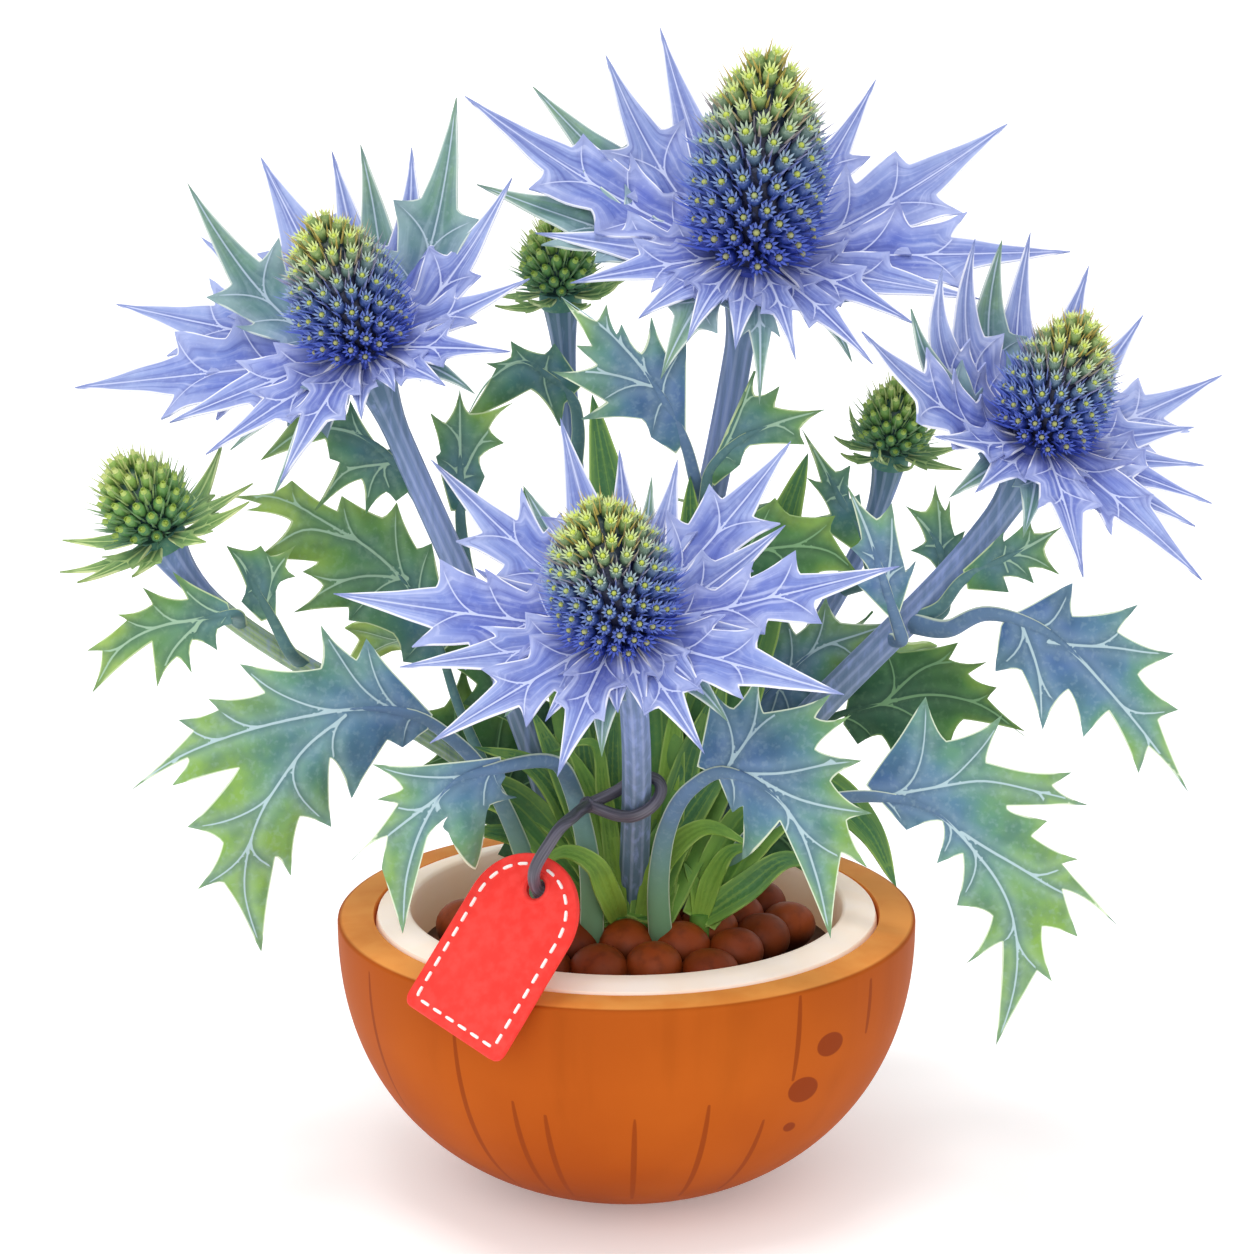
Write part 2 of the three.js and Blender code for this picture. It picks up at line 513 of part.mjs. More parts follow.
// A leaf blade with a spiny edge along a curve: thick at its rib and sharp at its edge, folded along the rib.
function blade(curve, face, width, style, seed) {
  const along = (x) => style.petiole + (1 - style.petiole) * x;
  const rib = (t) => curve.getPoint(Math.min(1, t));
  const normalAt = (t) => {
    const forward = curve.getTangent(Math.min(1, t));
    const turned = style.keel ? new THREE.Vector3(0, 0, 1).lerp(vector(face), Math.min(1, t * 3)) : vector(face);
    const side = turned.cross(forward).normalize();
    return { forward, side, normal: forward.clone().cross(side) };
  };
  const rings = [];
  const ring = (tRib, tEdge, left, right, thick, lift) => {
    const at = normalAt(tRib);
    const edgeAt = normalAt(tEdge);
    const fold = radians(style.fold);
    const edge = (half, sign) =>
      rib(tEdge)
        .addScaledVector(edgeAt.side, sign * half * Math.cos(fold))
        .addScaledVector(edgeAt.normal, half * Math.sin(fold) + lift);
    const under = rib(tRib).addScaledVector(at.normal, -thick * 0.6);
    if (style.keel) rings.push([edge(left, 1), under, edge(right, -1)]);
    else rings.push([rib(tRib).addScaledVector(at.normal, thick * 0.4), edge(left, 1), under, edge(right, -1)]);
  };
  const stalkSteps = style.petiole ? 3 : 1;
  for (let i = 0; i < stalkSteps; i++) {
    const t = (style.petiole * i) / stalkSteps;
    ring(t, t, style.stalk, style.stalk, style.thick + 0.6, 0);
  }
  if (style.petiole) ring(style.petiole, style.petiole, style.stalk, style.stalk, style.thick + 0.3, 0);
  stations(style).forEach(([xRib, xEdge, tooth, half], k) => {
    const halves = [0, 1].map((s) => {
      if (half) return half * width * (tooth ? 0.8 + 0.4 * noise(seed + 2 * k + s) : 1);
      const full = (width / 2) * outline(xEdge);
      const share = tooth ? 0.85 + 0.3 * noise(seed + 2 * k + s) : style.notch;
      return Math.max(full * share, style.stalk * (1 - xEdge));
    });
    const lift = tooth ? style.wave : -style.wave;
    ring(along(xRib), along(xEdge), halves[0], halves[1], style.thick * (1 - 0.55 * xRib), lift);
  });
  return loft(rings, rib(1));
}

const curveOf = (path) => new THREE.QuadraticBezierCurve3(...path.map(vector));

// Splits each side of the triangles that is longer than a length at its middle, in all triangles that share it.
function refine(points, triangles, longest) {
  const middles = new Map();
  const middle = (i, j) => {
    const key = i < j ? `${i},${j}` : `${j},${i}`;
    if (!middles.has(key)) {
      const long = points[i].distanceTo(points[j]) > longest;
      middles.set(key, long ? points.push(points[i].clone().lerp(points[j], 0.5)) - 1 : -1);
    }
    return middles.get(key);
  };
  return triangles.flatMap((triangle) => {
    const split = triangle.map((i, k) => middle(i, triangle[(k + 1) % 3]));
    const count = split.filter((m) => m >= 0).length;
    if (!count) return [triangle];
    const turn = split.findIndex((m, k) => (count === 1 ? m >= 0 : count === 3 || split[(k + 2) % 3] < 0));
    const at = (list, k) => list[(turn + k) % 3];
    const [a, b, c] = [0, 1, 2].map((k) => at(triangle, k));
    const [ab, bc, ca] = [0, 1, 2].map((k) => at(split, k));
    if (count === 1) return [[a, ab, c], [ab, b, c]];
    if (count === 2) return [[ab, b, bc], [a, ab, bc], [a, bc, c]];
    return [[a, ab, ca], [ab, b, bc], [ca, bc, c], [ab, bc, ca]];
  });
}

// A leaf cut along its outline: its flat plate is lifted to its depth, which is a mean of the rib's depths, nearest
// first, and its stalk and midrib run along the rib.
function plateSolid({ rib, base, tilt, edge, stalk = PLATE.stalk }) {
  const line = new THREE.CatmullRomCurve3(rib.map(vector));
  const near = line.getPoints(PLATE.samples);
  const depth = (x, z) => {
    let [sum, total] = [0, 0];
    for (const p of near) {
      const weight = 1 / ((x - p.x) ** 2 + (z - p.z) ** 2 + PLATE.near) ** 2;
      sum += weight * (p.y + tilt * (z - p.z));
      total += weight;
    }
    return sum / total;
  };
  const flat = edge.map(([x, z]) => new THREE.Vector2(x, z));
  let triangles = THREE.ShapeUtils.triangulateShape(flat, []);
  triangles = refine(flat, triangles, PLATE.longest);
  const n = flat.length;
  const place = (side) => flat.map((p) => new THREE.Vector3(p.x, depth(p.x, p.y) + (side * PLATE.thick) / 2, p.y));
  const rims = new Map();
  for (const [a, b, c] of triangles)
    for (const [i, j] of [[a, b], [b, c], [c, a]]) {
      if (rims.has(`${j},${i}`)) rims.delete(`${j},${i}`);
      else rims.set(`${i},${j}`, [i, j]);
    }
  const faces = triangles.flatMap(([a, b, c]) => [a, b, c, n + c, n + b, n + a]);
  for (const [i, j] of rims.values()) faces.push(j, i, n + i, j, n + i, n + j);
  const plate = surface([...place(-1), ...place(1)], faces);

  const chords = line.getLengths(PLATE.samples * PLATE.finer);
  const start = vector(rib[base ? base + 1 : 0]);
  const reach = near.reduce((best, p, k) => (p.distanceTo(start) < near[best].distanceTo(start) ? k : best), 0);
  const share = chords[reach * PLATE.finer] / chords.at(-1);
  const end = Math.min(0.97, share + PLATE.tuck);
  const points = near.map((_, i) => line.getPointAt((end * i) / PLATE.samples));
  const radius = (t) => stalk * (1 - PLATE.taper * t);
  return fuse([plate, tube(new THREE.CatmullRomCurve3(points), radius, PLATE.facets, PLATE.steps)]);
}

function leafSolid(leaf, seed) {
  if (leaf.edge) return plateSolid(leaf);
  return fuse([blade(curveOf(leaf.path), leaf.face, leaf.width, { ...LEAF, ...leaf }, seed)]);
}

// ---------------------------------------------------------------- flower heads
// The head's own frame: z along its axis, x to its right, y to its back.
function headMatrix(flower) {
  const z = new THREE.Vector3(Math.tan(radians(flower.lean)), -Math.tan(radians(flower.nod)), 1).normalize();
  const x = new THREE.Vector3(0, 1, 0).cross(z).normalize();
  return new THREE.Matrix4().makeBasis(x, z.clone().cross(x), z).setPosition(vector(flower.at));
}

const headAxis = (flower) => new THREE.Vector3(0, 0, 1).transformDirection(headMatrix(flower));

// The egg-shaped cone's radius, as a share of its widest, at a share v of its height.
function coneProfile(v) {
  const { footRadius, widest } = CONE;
  if (v < widest) return footRadius + (1 - footRadius) * Math.sin(((Math.PI / 2) * v) / widest);
  return Math.cos((Math.PI / 2) * ((v - widest) / (1 - widest)) ** CONE.shoulder) ** CONE.point;
}

// A cone covered with a diamond lattice of florets, each a four-sided spike that leans to the tip.
function coneGeometry(flower) {
  const [radius, height] = flower.cone;
  const { rows, around } = flower;
  const spike = CONE.spike * radius;
  const foot = 2.5 * GAP;
  const vAt = (i) => (0.97 * i) / rows;
  const point = (i, turn, out, up) => {
    const a = (2 * Math.PI * turn) / around;
    const r = radius * coneProfile(vAt(i)) + out;
    return new THREE.Vector3(r * Math.cos(a), r * Math.sin(a), foot + (height - foot) * vAt(i) + up);
  };
  const points = [];
  for (let i = 0; i <= rows; i++) for (let j = 0; j < around; j++) points.push(point(i, j + 0.5 * (i % 2), 0, 0));
  const corner = (i, j) => i * around + (((j % around) + around) % around);
  const triangles = [];
  for (let i = 1; i < rows; i++)
    for (let j = 0; j < around; j++) {
      const shift = i % 2; // rows of the other parity stand half a step away
      const [left, right] = [corner(i, j), corner(i, j + 1)];
      const [below, above] = [corner(i - 1, j + shift), corner(i + 1, j + shift)];
      const size = i === 1 ? 0.5 : 1;
      const slope = vAt(i);
      const tip = points.push(
        point(i, j + 0.5 * shift + 0.5, spike * size * (1 - 0.6 * slope), spike * (CONE.spikeLean + slope)),
      ) - 1;
      triangles.push(below, right, tip, right, above, tip, above, left, tip, left, below, tip);
    }
  const base = points.push(new THREE.Vector3(0, 0, foot)) - 1;
  const top = points.push(new THREE.Vector3(0, 0, height)) - 1;
  for (let j = 0; j < around; j++) {
    triangles.push(corner(0, j), corner(0, j + 1), corner(1, j), base, corner(0, j + 1), corner(0, j));
    const s = (rows + 1) % 2 === 0 ? 0 : 1;
    triangles.push(corner(rows, j), corner(rows - 1, j + (s ? 0 : 1)), corner(rows, j + 1));
    triangles.push(corner(rows, j), corner(rows, j + 1), top);
  }
  return surface(points, triangles);
}

// The room that a cone and its spikes take, with a gap round it.
function coneRoom(flower) {
  const [radius, height] = flower.cone;
  const profile = [new THREE.Vector2(0, GAP)];
  for (let i = 0; i <= 5; i++) {
    const spikes = CONE.spike * radius * (1 - 0.6 * (i / 5));
    profile.push(new THREE.Vector2(radius * coneProfile((0.8 * i) / 5) + spikes + GAP, GAP + (height * 0.8 * i) / 5));
  }
  profile.push(new THREE.Vector2(0, height));
  return new THREE.LatheGeometry(profile, 12).rotateX(Math.PI / 2);
}

// A bract's midrib from the collar to its tip, in the head's own frame.
function bractCurve(flower, [turn, reach, rise], rootZ) {
  const a = radians(turn);
  const at = (r, z) => new THREE.Vector3(r * Math.cos(a), r * Math.sin(a), z);
  const width = flower.cone[0];
  const steep = Math.max(0, rise / reach);
  return new THREE.QuadraticBezierCurve3(
    at(width * COLLAR.bractRoot, rootZ),
    at(Math.max(0.45 * reach, (1.35 + 1.25 * steep) * width), rootZ + 0.1 * Math.max(0, rise) - 0.3),
    at(reach, rise),
  );
}

function collarSolid(flower, style, seed) {
  const radius = flower.cone[0] * COLLAR.radius;
  const disc = new THREE.CylinderGeometry(radius, radius, COLLAR.thick, COLLAR.facets);
  disc.rotateX(Math.PI / 2).translate(0, 0, -COLLAR.thick / 2);
  const blades = [disc];
  const add = (bract, rootZ, k) => {
    const curve = bractCurve(flower, bract, rootZ);
    const length = curve.getLength();
    const spines = flower.ring ? 0 : COLLAR.spines.filter((shortest) => length >= shortest).length;
    const width = (flower.ring ? 0.8 : 0.95 + 5 / length) * length;
    const cut = { ...style, shares: BRACT_SIDES[spines] };
    blades.push(blade(curve, [0, -COLLAR.twist, 0.8], width, cut, seed + 7 * k));
  };
  flower.bracts.forEach((bract, k) => add(bract, COLLAR.tiers[k % 2], k));
  (flower.outer || []).forEach((bract, k) => add(bract, COLLAR.outer, k + 40));
  return carve(fuse(blades), coneRoom(flower));
}

// The buds' even ring of bracts, its directions and reaches varied a little.
function ringOfBracts({ count, reach, seed }) {
  return Array.from({ length: count }, (_, k) => {
    const turn = (360 * (k + 0.5 * noise(seed + k))) / count;
    return [turn, reach * (0.8 + 0.45 * noise(seed + 30 + k)), 6 * noise(seed + 60 + k) - 2];
  });
}

// A stem's centreline, from its root in the pebbles to the underside of its collar.
function stemCurve(flower) {
  const axis = headAxis(flower);
  const end = vector(flower.at).addScaledVector(axis, -COLLAR.thick - 2 * GAP);
  const root = new THREE.Vector3(...flower.root, CROWN.z);
  const span = end.distanceTo(root);
  return new THREE.CubicBezierCurve3(
    root,
    root.clone().add(new THREE.Vector3(flower.root[0] * 0.6, flower.root[1] * 0.6, span * 0.35)),
    end.clone().addScaledVector(axis, -span * 0.3),
    end,
  );
}

function stemGeometry(flower, clearance = 0) {
  const [rootRadius, neckRadius] = flower.radii;
  const flare = flower.cone[0] * STEM.flare;
  const radiusAt = (t) => {
    const plain = rootRadius + (neckRadius - rootRadius) * t;
    const open = Math.max(0, (t - STEM.flareFrom) / (1 - STEM.flareFrom));
    return plain + (flare - plain) * open ** 1.6 + clearance;
  };
  return tube(stemCurve(flower), radiusAt, STEM.facets, STEM.steps);
}

// ---------------------------------------------------------------- shell and pebbles
// Points of a fuller half ellipse from a low radius up to the shell's rim plane.
function bowlArc(radius, depth, from, steps) {
  const start = Math.asin((from / radius) ** (1 / SHELL.fullness));
  return Array.from({ length: steps + 1 }, (_, i) => {
    const a = start + ((Math.PI / 2 - start) * i) / steps;
    return new THREE.Vector2(
      radius * Math.sin(a) ** SHELL.fullness,
      RIM_Z - depth * Math.max(0, Math.cos(a)) ** SHELL.fullness,
    );
  });
}

function bowl(outer, rim, inner) {
  const profile = [new THREE.Vector2(0, outer[0].y), ...outer, ...rim, ...inner.reverse()];
  return new THREE.LatheGeometry(profile, SHELL.facets).rotateX(Math.PI / 2);
}

function shellGeometry() {
  const outer = bowlArc(SHELL.radius, SHELL.depth, SHELL.foot, 6);
  outer.forEach((p) => (p.y = Math.max(0, p.y)));
  outer[0].y = 0;
  const hollow = SHELL.radius - SHELL.wall;
  const inner = bowlArc(hollow, SHELL.depth - SHELL.wall, 0, 4);
  const rim = [
    new THREE.Vector2(SHELL.radius - 0.5, RIM_Z + 0.7),
    new THREE.Vector2(hollow + 0.3, RIM_Z + 1.2),
  ];
  return bowl(outer, rim, inner);
}

const hollowRadius = SHELL.radius - SHELL.wall - GAP - FLESH.wall;
const hollowDepth = SHELL.depth - SHELL.wall - GAP - FLESH.wall;

function fleshGeometry() {
  const outer = bowlArc(hollowRadius + FLESH.wall, hollowDepth + FLESH.wall, 0, 4);
  const inner = bowlArc(hollowRadius, hollowDepth, 0, 5);
  const rim = [
    new THREE.Vector2(hollowRadius + FLESH.wall - 0.4, RIM_Z + 1.6),
    new THREE.Vector2(hollowRadius + 0.8, RIM_Z + 1.6 + FLESH.rise),
    new THREE.Vector2(hollowRadius, RIM_Z + 1 + FLESH.rise),
  ];
  return bowl(outer.slice(1), rim, inner);
}

// The pebbles: a bed that fills the flesh's hollow, with round pebbles standing half out of it in a spiral.
function pebbleSolid(cutters) {
  const radius = hollowRadius - 2 * GAP;
  const bedProfile = [
    ...bowlArc(radius, hollowDepth - 2 * GAP, 0, 5),
    new THREE.Vector2(radius - 1, PEBBLES.floor + 0.5),
    new THREE.Vector2(0, PEBBLES.floor + 0.5),
  ].filter((p) => p.y <= PEBBLES.floor + 0.5);
  const bed = new THREE.LatheGeometry(bedProfile, 16).rotateX(Math.PI / 2);
  return largest(cutters.map(solidOf).reduce((body, hole) => body.subtract(hole), fuse([bed, pebbleField()])));
}

// Round-topped pebbles packed like a honeycomb: each has a crown, a shoulder and six corners it shares.
function pebbleField() {
  const { pitch, spread, floor, edge, dome, top, shoulder, valley } = PEBBLES;
  const isIn = (i, j) => Math.hypot(...centre(i, j)) < spread;
  const centre = (i, j) => [pitch * (i + 0.5 * j), pitch * j * Math.sin(radians(60))];
  const at = (x, y, above) => new THREE.Vector3(x, y, edge + dome * (1 - (x * x + y * y) / spread ** 2) + above);
  const faces = [];
  for (let i = -9; i <= 9; i++)
    for (let j = -9; j <= 9; j++) {
      if (!isIn(i, j)) continue;
      const [x, y] = centre(i, j);
      const crown = top + 0.9 * noise(20 * i + j);
      const corner = (k, share, above) => {
        const [a, r] = [radians(30 + 60 * k), (share * pitch) / Math.sqrt(3)];
        return at(x + r * Math.cos(a), y + r * Math.sin(a), above);
      };
      const sunk = (p) => new THREE.Vector3(p.x, p.y, floor - 1);
      const beyond = [[0, 1], [-1, 1], [-1, 0], [0, -1], [1, -1], [1, 0]];
      for (let k = 0; k < 6; k++) {
        const [a, b] = [corner(k, 1, valley), corner(k + 1, 1, valley)];
        const [c, d] = [corner(k, 0.66, crown - top + shoulder), corner(k + 1, 0.66, crown - top + shoulder)];
        faces.push(a, b, d, a, d, c, c, d, at(x, y, crown), sunk(b), sunk(a), sunk(at(x, y, 0)));
        if (!isIn(i + beyond[k][0], j + beyond[k][1])) faces.push(a, sunk(b), b, a, sunk(a), sunk(b));
      }
    }
  return new THREE.BufferGeometry().setFromPoints(faces);
}

// A stem's or leaf stalk's root, widened by the clearance, to cut its hole in the pebbles.
function rootHole(curve, radius) {
  const below = new THREE.Vector3(0, 0, -HOLE_CLEARANCE);
  let share = 0.05;
  while (curve.getPoint(share).z < PEBBLES.edge + PEBBLES.dome + PEBBLES.top + 3) share += 0.01;
  const short = new THREE.LineCurve3(curve.getPoint(0).add(below.multiplyScalar(2)), curve.getPoint(share));
  return tube(short, () => radius + HOLE_CLEARANCE, 6, 1);
}

function tuftFoot(root, radius, drop) {
  const { footRise } = TUFT;
  const foot = new THREE.CylinderGeometry(radius, radius, footRise + drop, 7).rotateX(Math.PI / 2);
  return foot.translate(...root, CROWN.z + (footRise - drop) / 2);
}

function tuftSolid({ root, blades }, seed) {
  const start = [...root, CROWN.z + TUFT.footRise - 1.5];
  const leaves = blades.map(([line, width], k) =>
    blade(new THREE.CatmullRomCurve3([start, ...line].map(vector)), [0, -0.8, 0.5], width, STRAP, seed + k),
  );
  const tuft = fuse([tuftFoot(root, TUFT.radius, 0), ...leaves]);
  return carve(tuft, stemGeometry(FLOWERS.front, GAP));
}

// ---------------------------------------------------------------- tag and cord
const tagNormal = TAG_DOWN.clone().cross(TAG_RIGHT).normalize();
const tagPoint = (right, down, out) =>
  TAG_EYE.clone().addScaledVector(TAG_RIGHT, right).addScaledVector(TAG_DOWN, down).addScaledVector(tagNormal, out);

function tagGeometry() {
  const { width, length, thick, corner, holeFromTop, hole } = TAG;
  const half = width / 2;
  const top = -holeFromTop;
  const end = length - holeFromTop;
  const shape = new THREE.Shape();
  shape.moveTo(-half, top + half);
  shape.absarc(0, top + half, half, Math.PI, 2 * Math.PI, false);
  shape.lineTo(half, end - corner);
  shape.absarc(half - corner, end - corner, corner, 0, Math.PI / 2, false);
  shape.lineTo(-half + corner, end);
  shape.absarc(-half + corner, end - corner, corner, Math.PI / 2, Math.PI, false);
  shape.holes.push(new THREE.Path().absarc(0, 0, hole, 0, 2 * Math.PI, true));
  const plate = new THREE.ExtrudeGeometry(shape, { depth: thick, bevelEnabled: false, curveSegments: 6 });
  plate.translate(0, 0, -thick / 2);
  const normal = TAG_RIGHT.clone().cross(TAG_DOWN).normalize();
  return plate.applyMatrix4(new THREE.Matrix4().makeBasis(TAG_RIGHT, TAG_DOWN, normal).setPosition(TAG_EYE));
}

// The cord: from a stopper knot behind the tag, through its hole, up to a knot, and in a loop round the front stem.
function cordSolid() {
  const { radius, facets, knot, stopper, loopGap, share, tilt } = CORD;
  const stem = stemCurve(FLOWERS.front);
  const centre = stem.getPointAt(share);
  const forward = stem.getTangentAt(share);
  const stemRadius = FLOWERS.front.radii[0];
  const ringRadius = stemRadius + radius + loopGap;
  const left = new THREE.Vector3(-1, 0, 0).projectOnPlane(forward).normalize();
  const ahead = forward.clone().cross(left);
  const round = (turn, r) =>
    centre.clone().addScaledVector(left, r * Math.cos(turn)).addScaledVector(ahead, r * Math.sin(turn))
      .addScaledVector(forward, -tilt * Math.cos(turn));
  const knotAt = round(0, ringRadius + 5);
  const loop = [knotAt];
  for (let i = 0; i <= 10; i++) loop.push(round(radians(50 + 26 * i), ringRadius));
  loop.push(knotAt);
  const main = [
    tagPoint(0, 0, -TAG.thick / 2 - stopper * 0.8),
    tagPoint(0, 0, 0),
    tagPoint(0, -2.5, 4),
    tagPoint(0.5, -9, 6).lerp(knotAt, 0.1),
    tagPoint(0, -12, 5).lerp(knotAt, 0.6),
    knotAt,
  ];
  const tubeOf = (points, steps) => tube(new THREE.CatmullRomCurve3(points), () => radius, facets, steps);
  return fuse([
    tubeOf(main, 11),
    tubeOf(loop, 14),
    new THREE.SphereGeometry(knot, 6, 5).translate(...knotAt.toArray()),
    new THREE.SphereGeometry(stopper, 6, 5).translate(...main[0].toArray()),
  ]);
}

// ---------------------------------------------------------------- assembly
const plant = new THREE.Group();

function add(name, shape, colour, roughness = 0.6) {
  const geometry = shape.isBufferGeometry ? shape : geometryOf(shape);
  const mesh = new THREE.Mesh(geometry, new THREE.MeshStandardMaterial({ color: colour, roughness, metalness: 0 }));
  mesh.name = name;
  plant.add(mesh);
  return mesh;
}

add("coconut_shell", shellGeometry(), COLOUR.shell, 0.55);
add("coconut_flesh", fleshGeometry(), COLOUR.flesh, 0.5);

const holes = [];
const flowerEntries = [...Object.entries(FLOWERS), ...Object.entries(BUDS)];
flowerEntries.forEach(([name, flower], k) => {
  const isBud = Boolean(flower.ring);
  if (isBud) flower.bracts = ringOfBracts(flower.ring);
  const place = headMatrix(flower);
  add(`stem_${name}`, stemGeometry(flower), isBud ? COLOUR.budStem : COLOUR.stem);
  add(`cone_${name}`, coneGeometry(flower), isBud ? COLOUR.bud : COLOUR.cone).applyMatrix4(place);
  const collar = collarSolid(flower, isBud ? BUD_BRACT : BRACT, 100 * (k + 1));
  add(`bracts_${name}`, collar, isBud ? COLOUR.leaf : COLOUR.bract).applyMatrix4(place);
  holes.push(rootHole(stemCurve(flower), flower.radii[0] + 0.9));
});

Object.entries(LEAVES).forEach(([name, leaf], k) => {
  add(name, leafSolid(leaf, 1000 + 20 * k), COLOUR.leaf);
  const stalk = leaf.rib ? new THREE.CatmullRomCurve3(leaf.rib.map(vector)) : curveOf(leaf.path);
  if (stalk.getPoint(0).z < RIM_Z) holes.push(rootHole(stalk, (leaf.stalk ?? LEAF.stalk) + 0.6));
});
Object.entries(TUFTS).forEach(([name, tuft], k) => {
  add(name, tuftSolid(tuft, 2000 + 10 * k), COLOUR.strap);
  holes.push(tuftFoot(tuft.root, TUFT.radius + 0.9, HOLE_CLEARANCE), tuftFoot(tuft.root, 4.2, -8).translate(0, 0, 4));
});

add("clay_pebbles", pebbleSolid(holes), COLOUR.pebble, 0.8);
add("swing_tag", tagGeometry(), COLOUR.tag, 0.5);
add("tag_cord", cordSolid(), COLOUR.cord, 0.6);

export default plant;
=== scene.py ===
"""Sea holly growing in half a coconut shell of clay pebbles, with a stitched tag tied to its front stem.

Sizes are written in millimetres in the CAD's frame (+Z up, the front towards -Y) and turn into metres where a
mesh is made. Each piece stands where its CAD node stands and replaces it.
"""

import math

import bpy
import numpy as np
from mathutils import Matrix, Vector
from mathutils.geometry import delaunay_2d_cdt


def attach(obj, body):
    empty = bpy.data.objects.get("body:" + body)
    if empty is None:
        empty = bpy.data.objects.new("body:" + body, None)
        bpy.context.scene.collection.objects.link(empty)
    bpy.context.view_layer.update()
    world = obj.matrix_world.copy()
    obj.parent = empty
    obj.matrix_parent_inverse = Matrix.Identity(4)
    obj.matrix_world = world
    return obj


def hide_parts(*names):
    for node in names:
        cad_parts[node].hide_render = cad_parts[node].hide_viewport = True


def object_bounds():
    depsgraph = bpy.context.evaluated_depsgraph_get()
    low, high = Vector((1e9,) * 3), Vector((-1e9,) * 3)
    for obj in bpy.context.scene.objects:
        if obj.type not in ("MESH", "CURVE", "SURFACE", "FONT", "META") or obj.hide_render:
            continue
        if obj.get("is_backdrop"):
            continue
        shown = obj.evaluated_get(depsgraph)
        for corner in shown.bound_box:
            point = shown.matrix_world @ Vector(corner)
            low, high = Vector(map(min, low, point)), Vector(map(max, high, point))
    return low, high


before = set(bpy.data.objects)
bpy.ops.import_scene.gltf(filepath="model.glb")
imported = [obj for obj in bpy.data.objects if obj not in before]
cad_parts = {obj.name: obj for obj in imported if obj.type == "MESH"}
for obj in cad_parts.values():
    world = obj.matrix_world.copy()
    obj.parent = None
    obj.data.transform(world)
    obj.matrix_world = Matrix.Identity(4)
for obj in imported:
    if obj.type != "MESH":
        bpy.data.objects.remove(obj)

MM = 0.001
RIM_Z = 56.4
SHELL_RADIUS, SHELL_DEPTH, SHELL_WALL = 60, 58, 7.7
FULLNESS = 0.9  # of the shell's section: 1 is an ellipse, less is squarer
FOOT = 17  # the radius of the flat that the shell stands on
FLESH_WALL = 7.2
GAP = 0.3  # clearance between pieces that touch
COLLAR_THICK = 4
GOLDEN_ANGLE = math.radians(137.508)
# The pebbles' spacing and half sizes, how far from the middle they lie, the height of the bed between them
# at the edge and how much higher it is in the middle, how far they stand over it, and the heights of the
# filling under them, painted dark as the shade between the pebbles.
PEBBLES = {
    "pitch": 11.2, "size": (6.0, 6.0, 5.2), "spread": 38.5, "edge": 53.5, "dome": 5, "top": 4.2,
    "filling_rim": 48.6, "filling_crown": 52.5,
}
# Each pore's x, z and radius on the shell's front.
PORES = [(40.7, 43.8, 2.8), (35.3, 34.8, 3.2), (32.7, 25.7, 1.4)]
# Each seam's direction from +X in degrees, and the heights between which it runs.
SEAMS = [
    (-150, 24, 55), (-125, 8, 51), (-113, 8, 36), (-107, 8, 34), (-88, 8, 33), (-73, 8, 36), (-60, 8, 30),
    (-55, 37, 57), (-35, 42, 56), (-12, 8, 40), (8, 8, 28), (27, 14, 52), (45, 8, 33), (66, 8, 36),
    (82, 20, 55), (95, 8, 31), (117, 8, 36), (138, 12, 50), (155, 8, 30), (172, 8, 38), (190, 30, 56),
]
BACK_FACE = np.array([0, 0.6, 0.8])  # where the upper sides of the rear leaves look
FLUTES = 9  # grooves round a stem

# ------------------------------------------------------------------ camera, floor and light


def look_at(thing, target):
    """Turns a camera or lamp so that its -Z axis runs to the target."""
    away = Vector(target) - thing.location
    thing.rotation_euler = away.to_track_quat("-Z", "Y").to_euler()


def place_camera():
    """A long lens a metre away, 15 degrees above the horizon, square on to the front."""
    camera = bpy.data.objects.new("camera", bpy.data.cameras.new("camera"))
    bpy.context.collection.objects.link(camera)
    camera.location = (0.104 * MM, -927.814 * MM, 370.666 * MM)
    camera.data.lens, camera.data.sensor_width = 135, 36
    look_at(camera, (0.104 * MM, 16.088 * MM, 114.213 * MM))
    bpy.context.scene.camera = camera
    bpy.context.scene.view_settings.view_transform = "Standard"


def place_light():
    """A white room: a soft sun nearly overhead, a weaker and softer one from the front, and an even sky."""
    for name, where, strength, width in (
        ("key", (-0.14, -0.22, 1.5), 1.0, 22),
        ("front", (-0.3, -1.0, 0.5), 0.8, 60),
    ):
        lamp = bpy.data.objects.new(name, bpy.data.lights.new(name, "SUN"))
        bpy.context.collection.objects.link(lamp)
        lamp.location = where
        lamp.data.energy, lamp.data.angle = strength, math.radians(width)
        look_at(lamp, (0, 0, 0))
    world = bpy.data.worlds.new("sky")
    bpy.context.scene.world = world
    world.use_nodes = True
    sky = world.node_tree.nodes["Background"]
    sky.inputs["Color"].default_value = (1, 1, 1, 1)
    sky.inputs["Strength"].default_value = 0.78


# ------------------------------------------------------------------ small mathematics


def noise(n):
    """A repeatable random number from 0 to 1 for each number, as in the CAD."""
    s = np.sin(np.asarray(n, float) * 12.9898) * 43758.5453
    return s - np.floor(s)


def unit(v):
    """The same direction, one long."""
    return v / np.maximum(np.linalg.norm(v, axis=-1, keepdims=True), 1e-9)


def ease(x):
    """0 to 1 with a soft start and a soft end."""
    x = np.clip(x, 0, 1)
    return x * x * (3 - 2 * x)


class Bezier:
    """A Bezier curve through 3 or 4 control points, read at many shares of its length at once."""

    def __init__(self, *points):
        self.points = [np.array(p, float) for p in points]

    @staticmethod
    def _blend(points, t):
        t = np.atleast_1d(t)[:, None]
        while len(points) > 1:
            points = [(1 - t) * a + t * b for a, b in zip(points, points[1:])]
        return points[0]

    def at(self, t):
        return self._blend(self.points, t)

    def tangent(self, t):
        steps = [b - a for a, b in zip(self.points, self.points[1:])]
        return unit(self._blend(steps, t) + np.zeros((len(np.atleast_1d(t)), 3)))


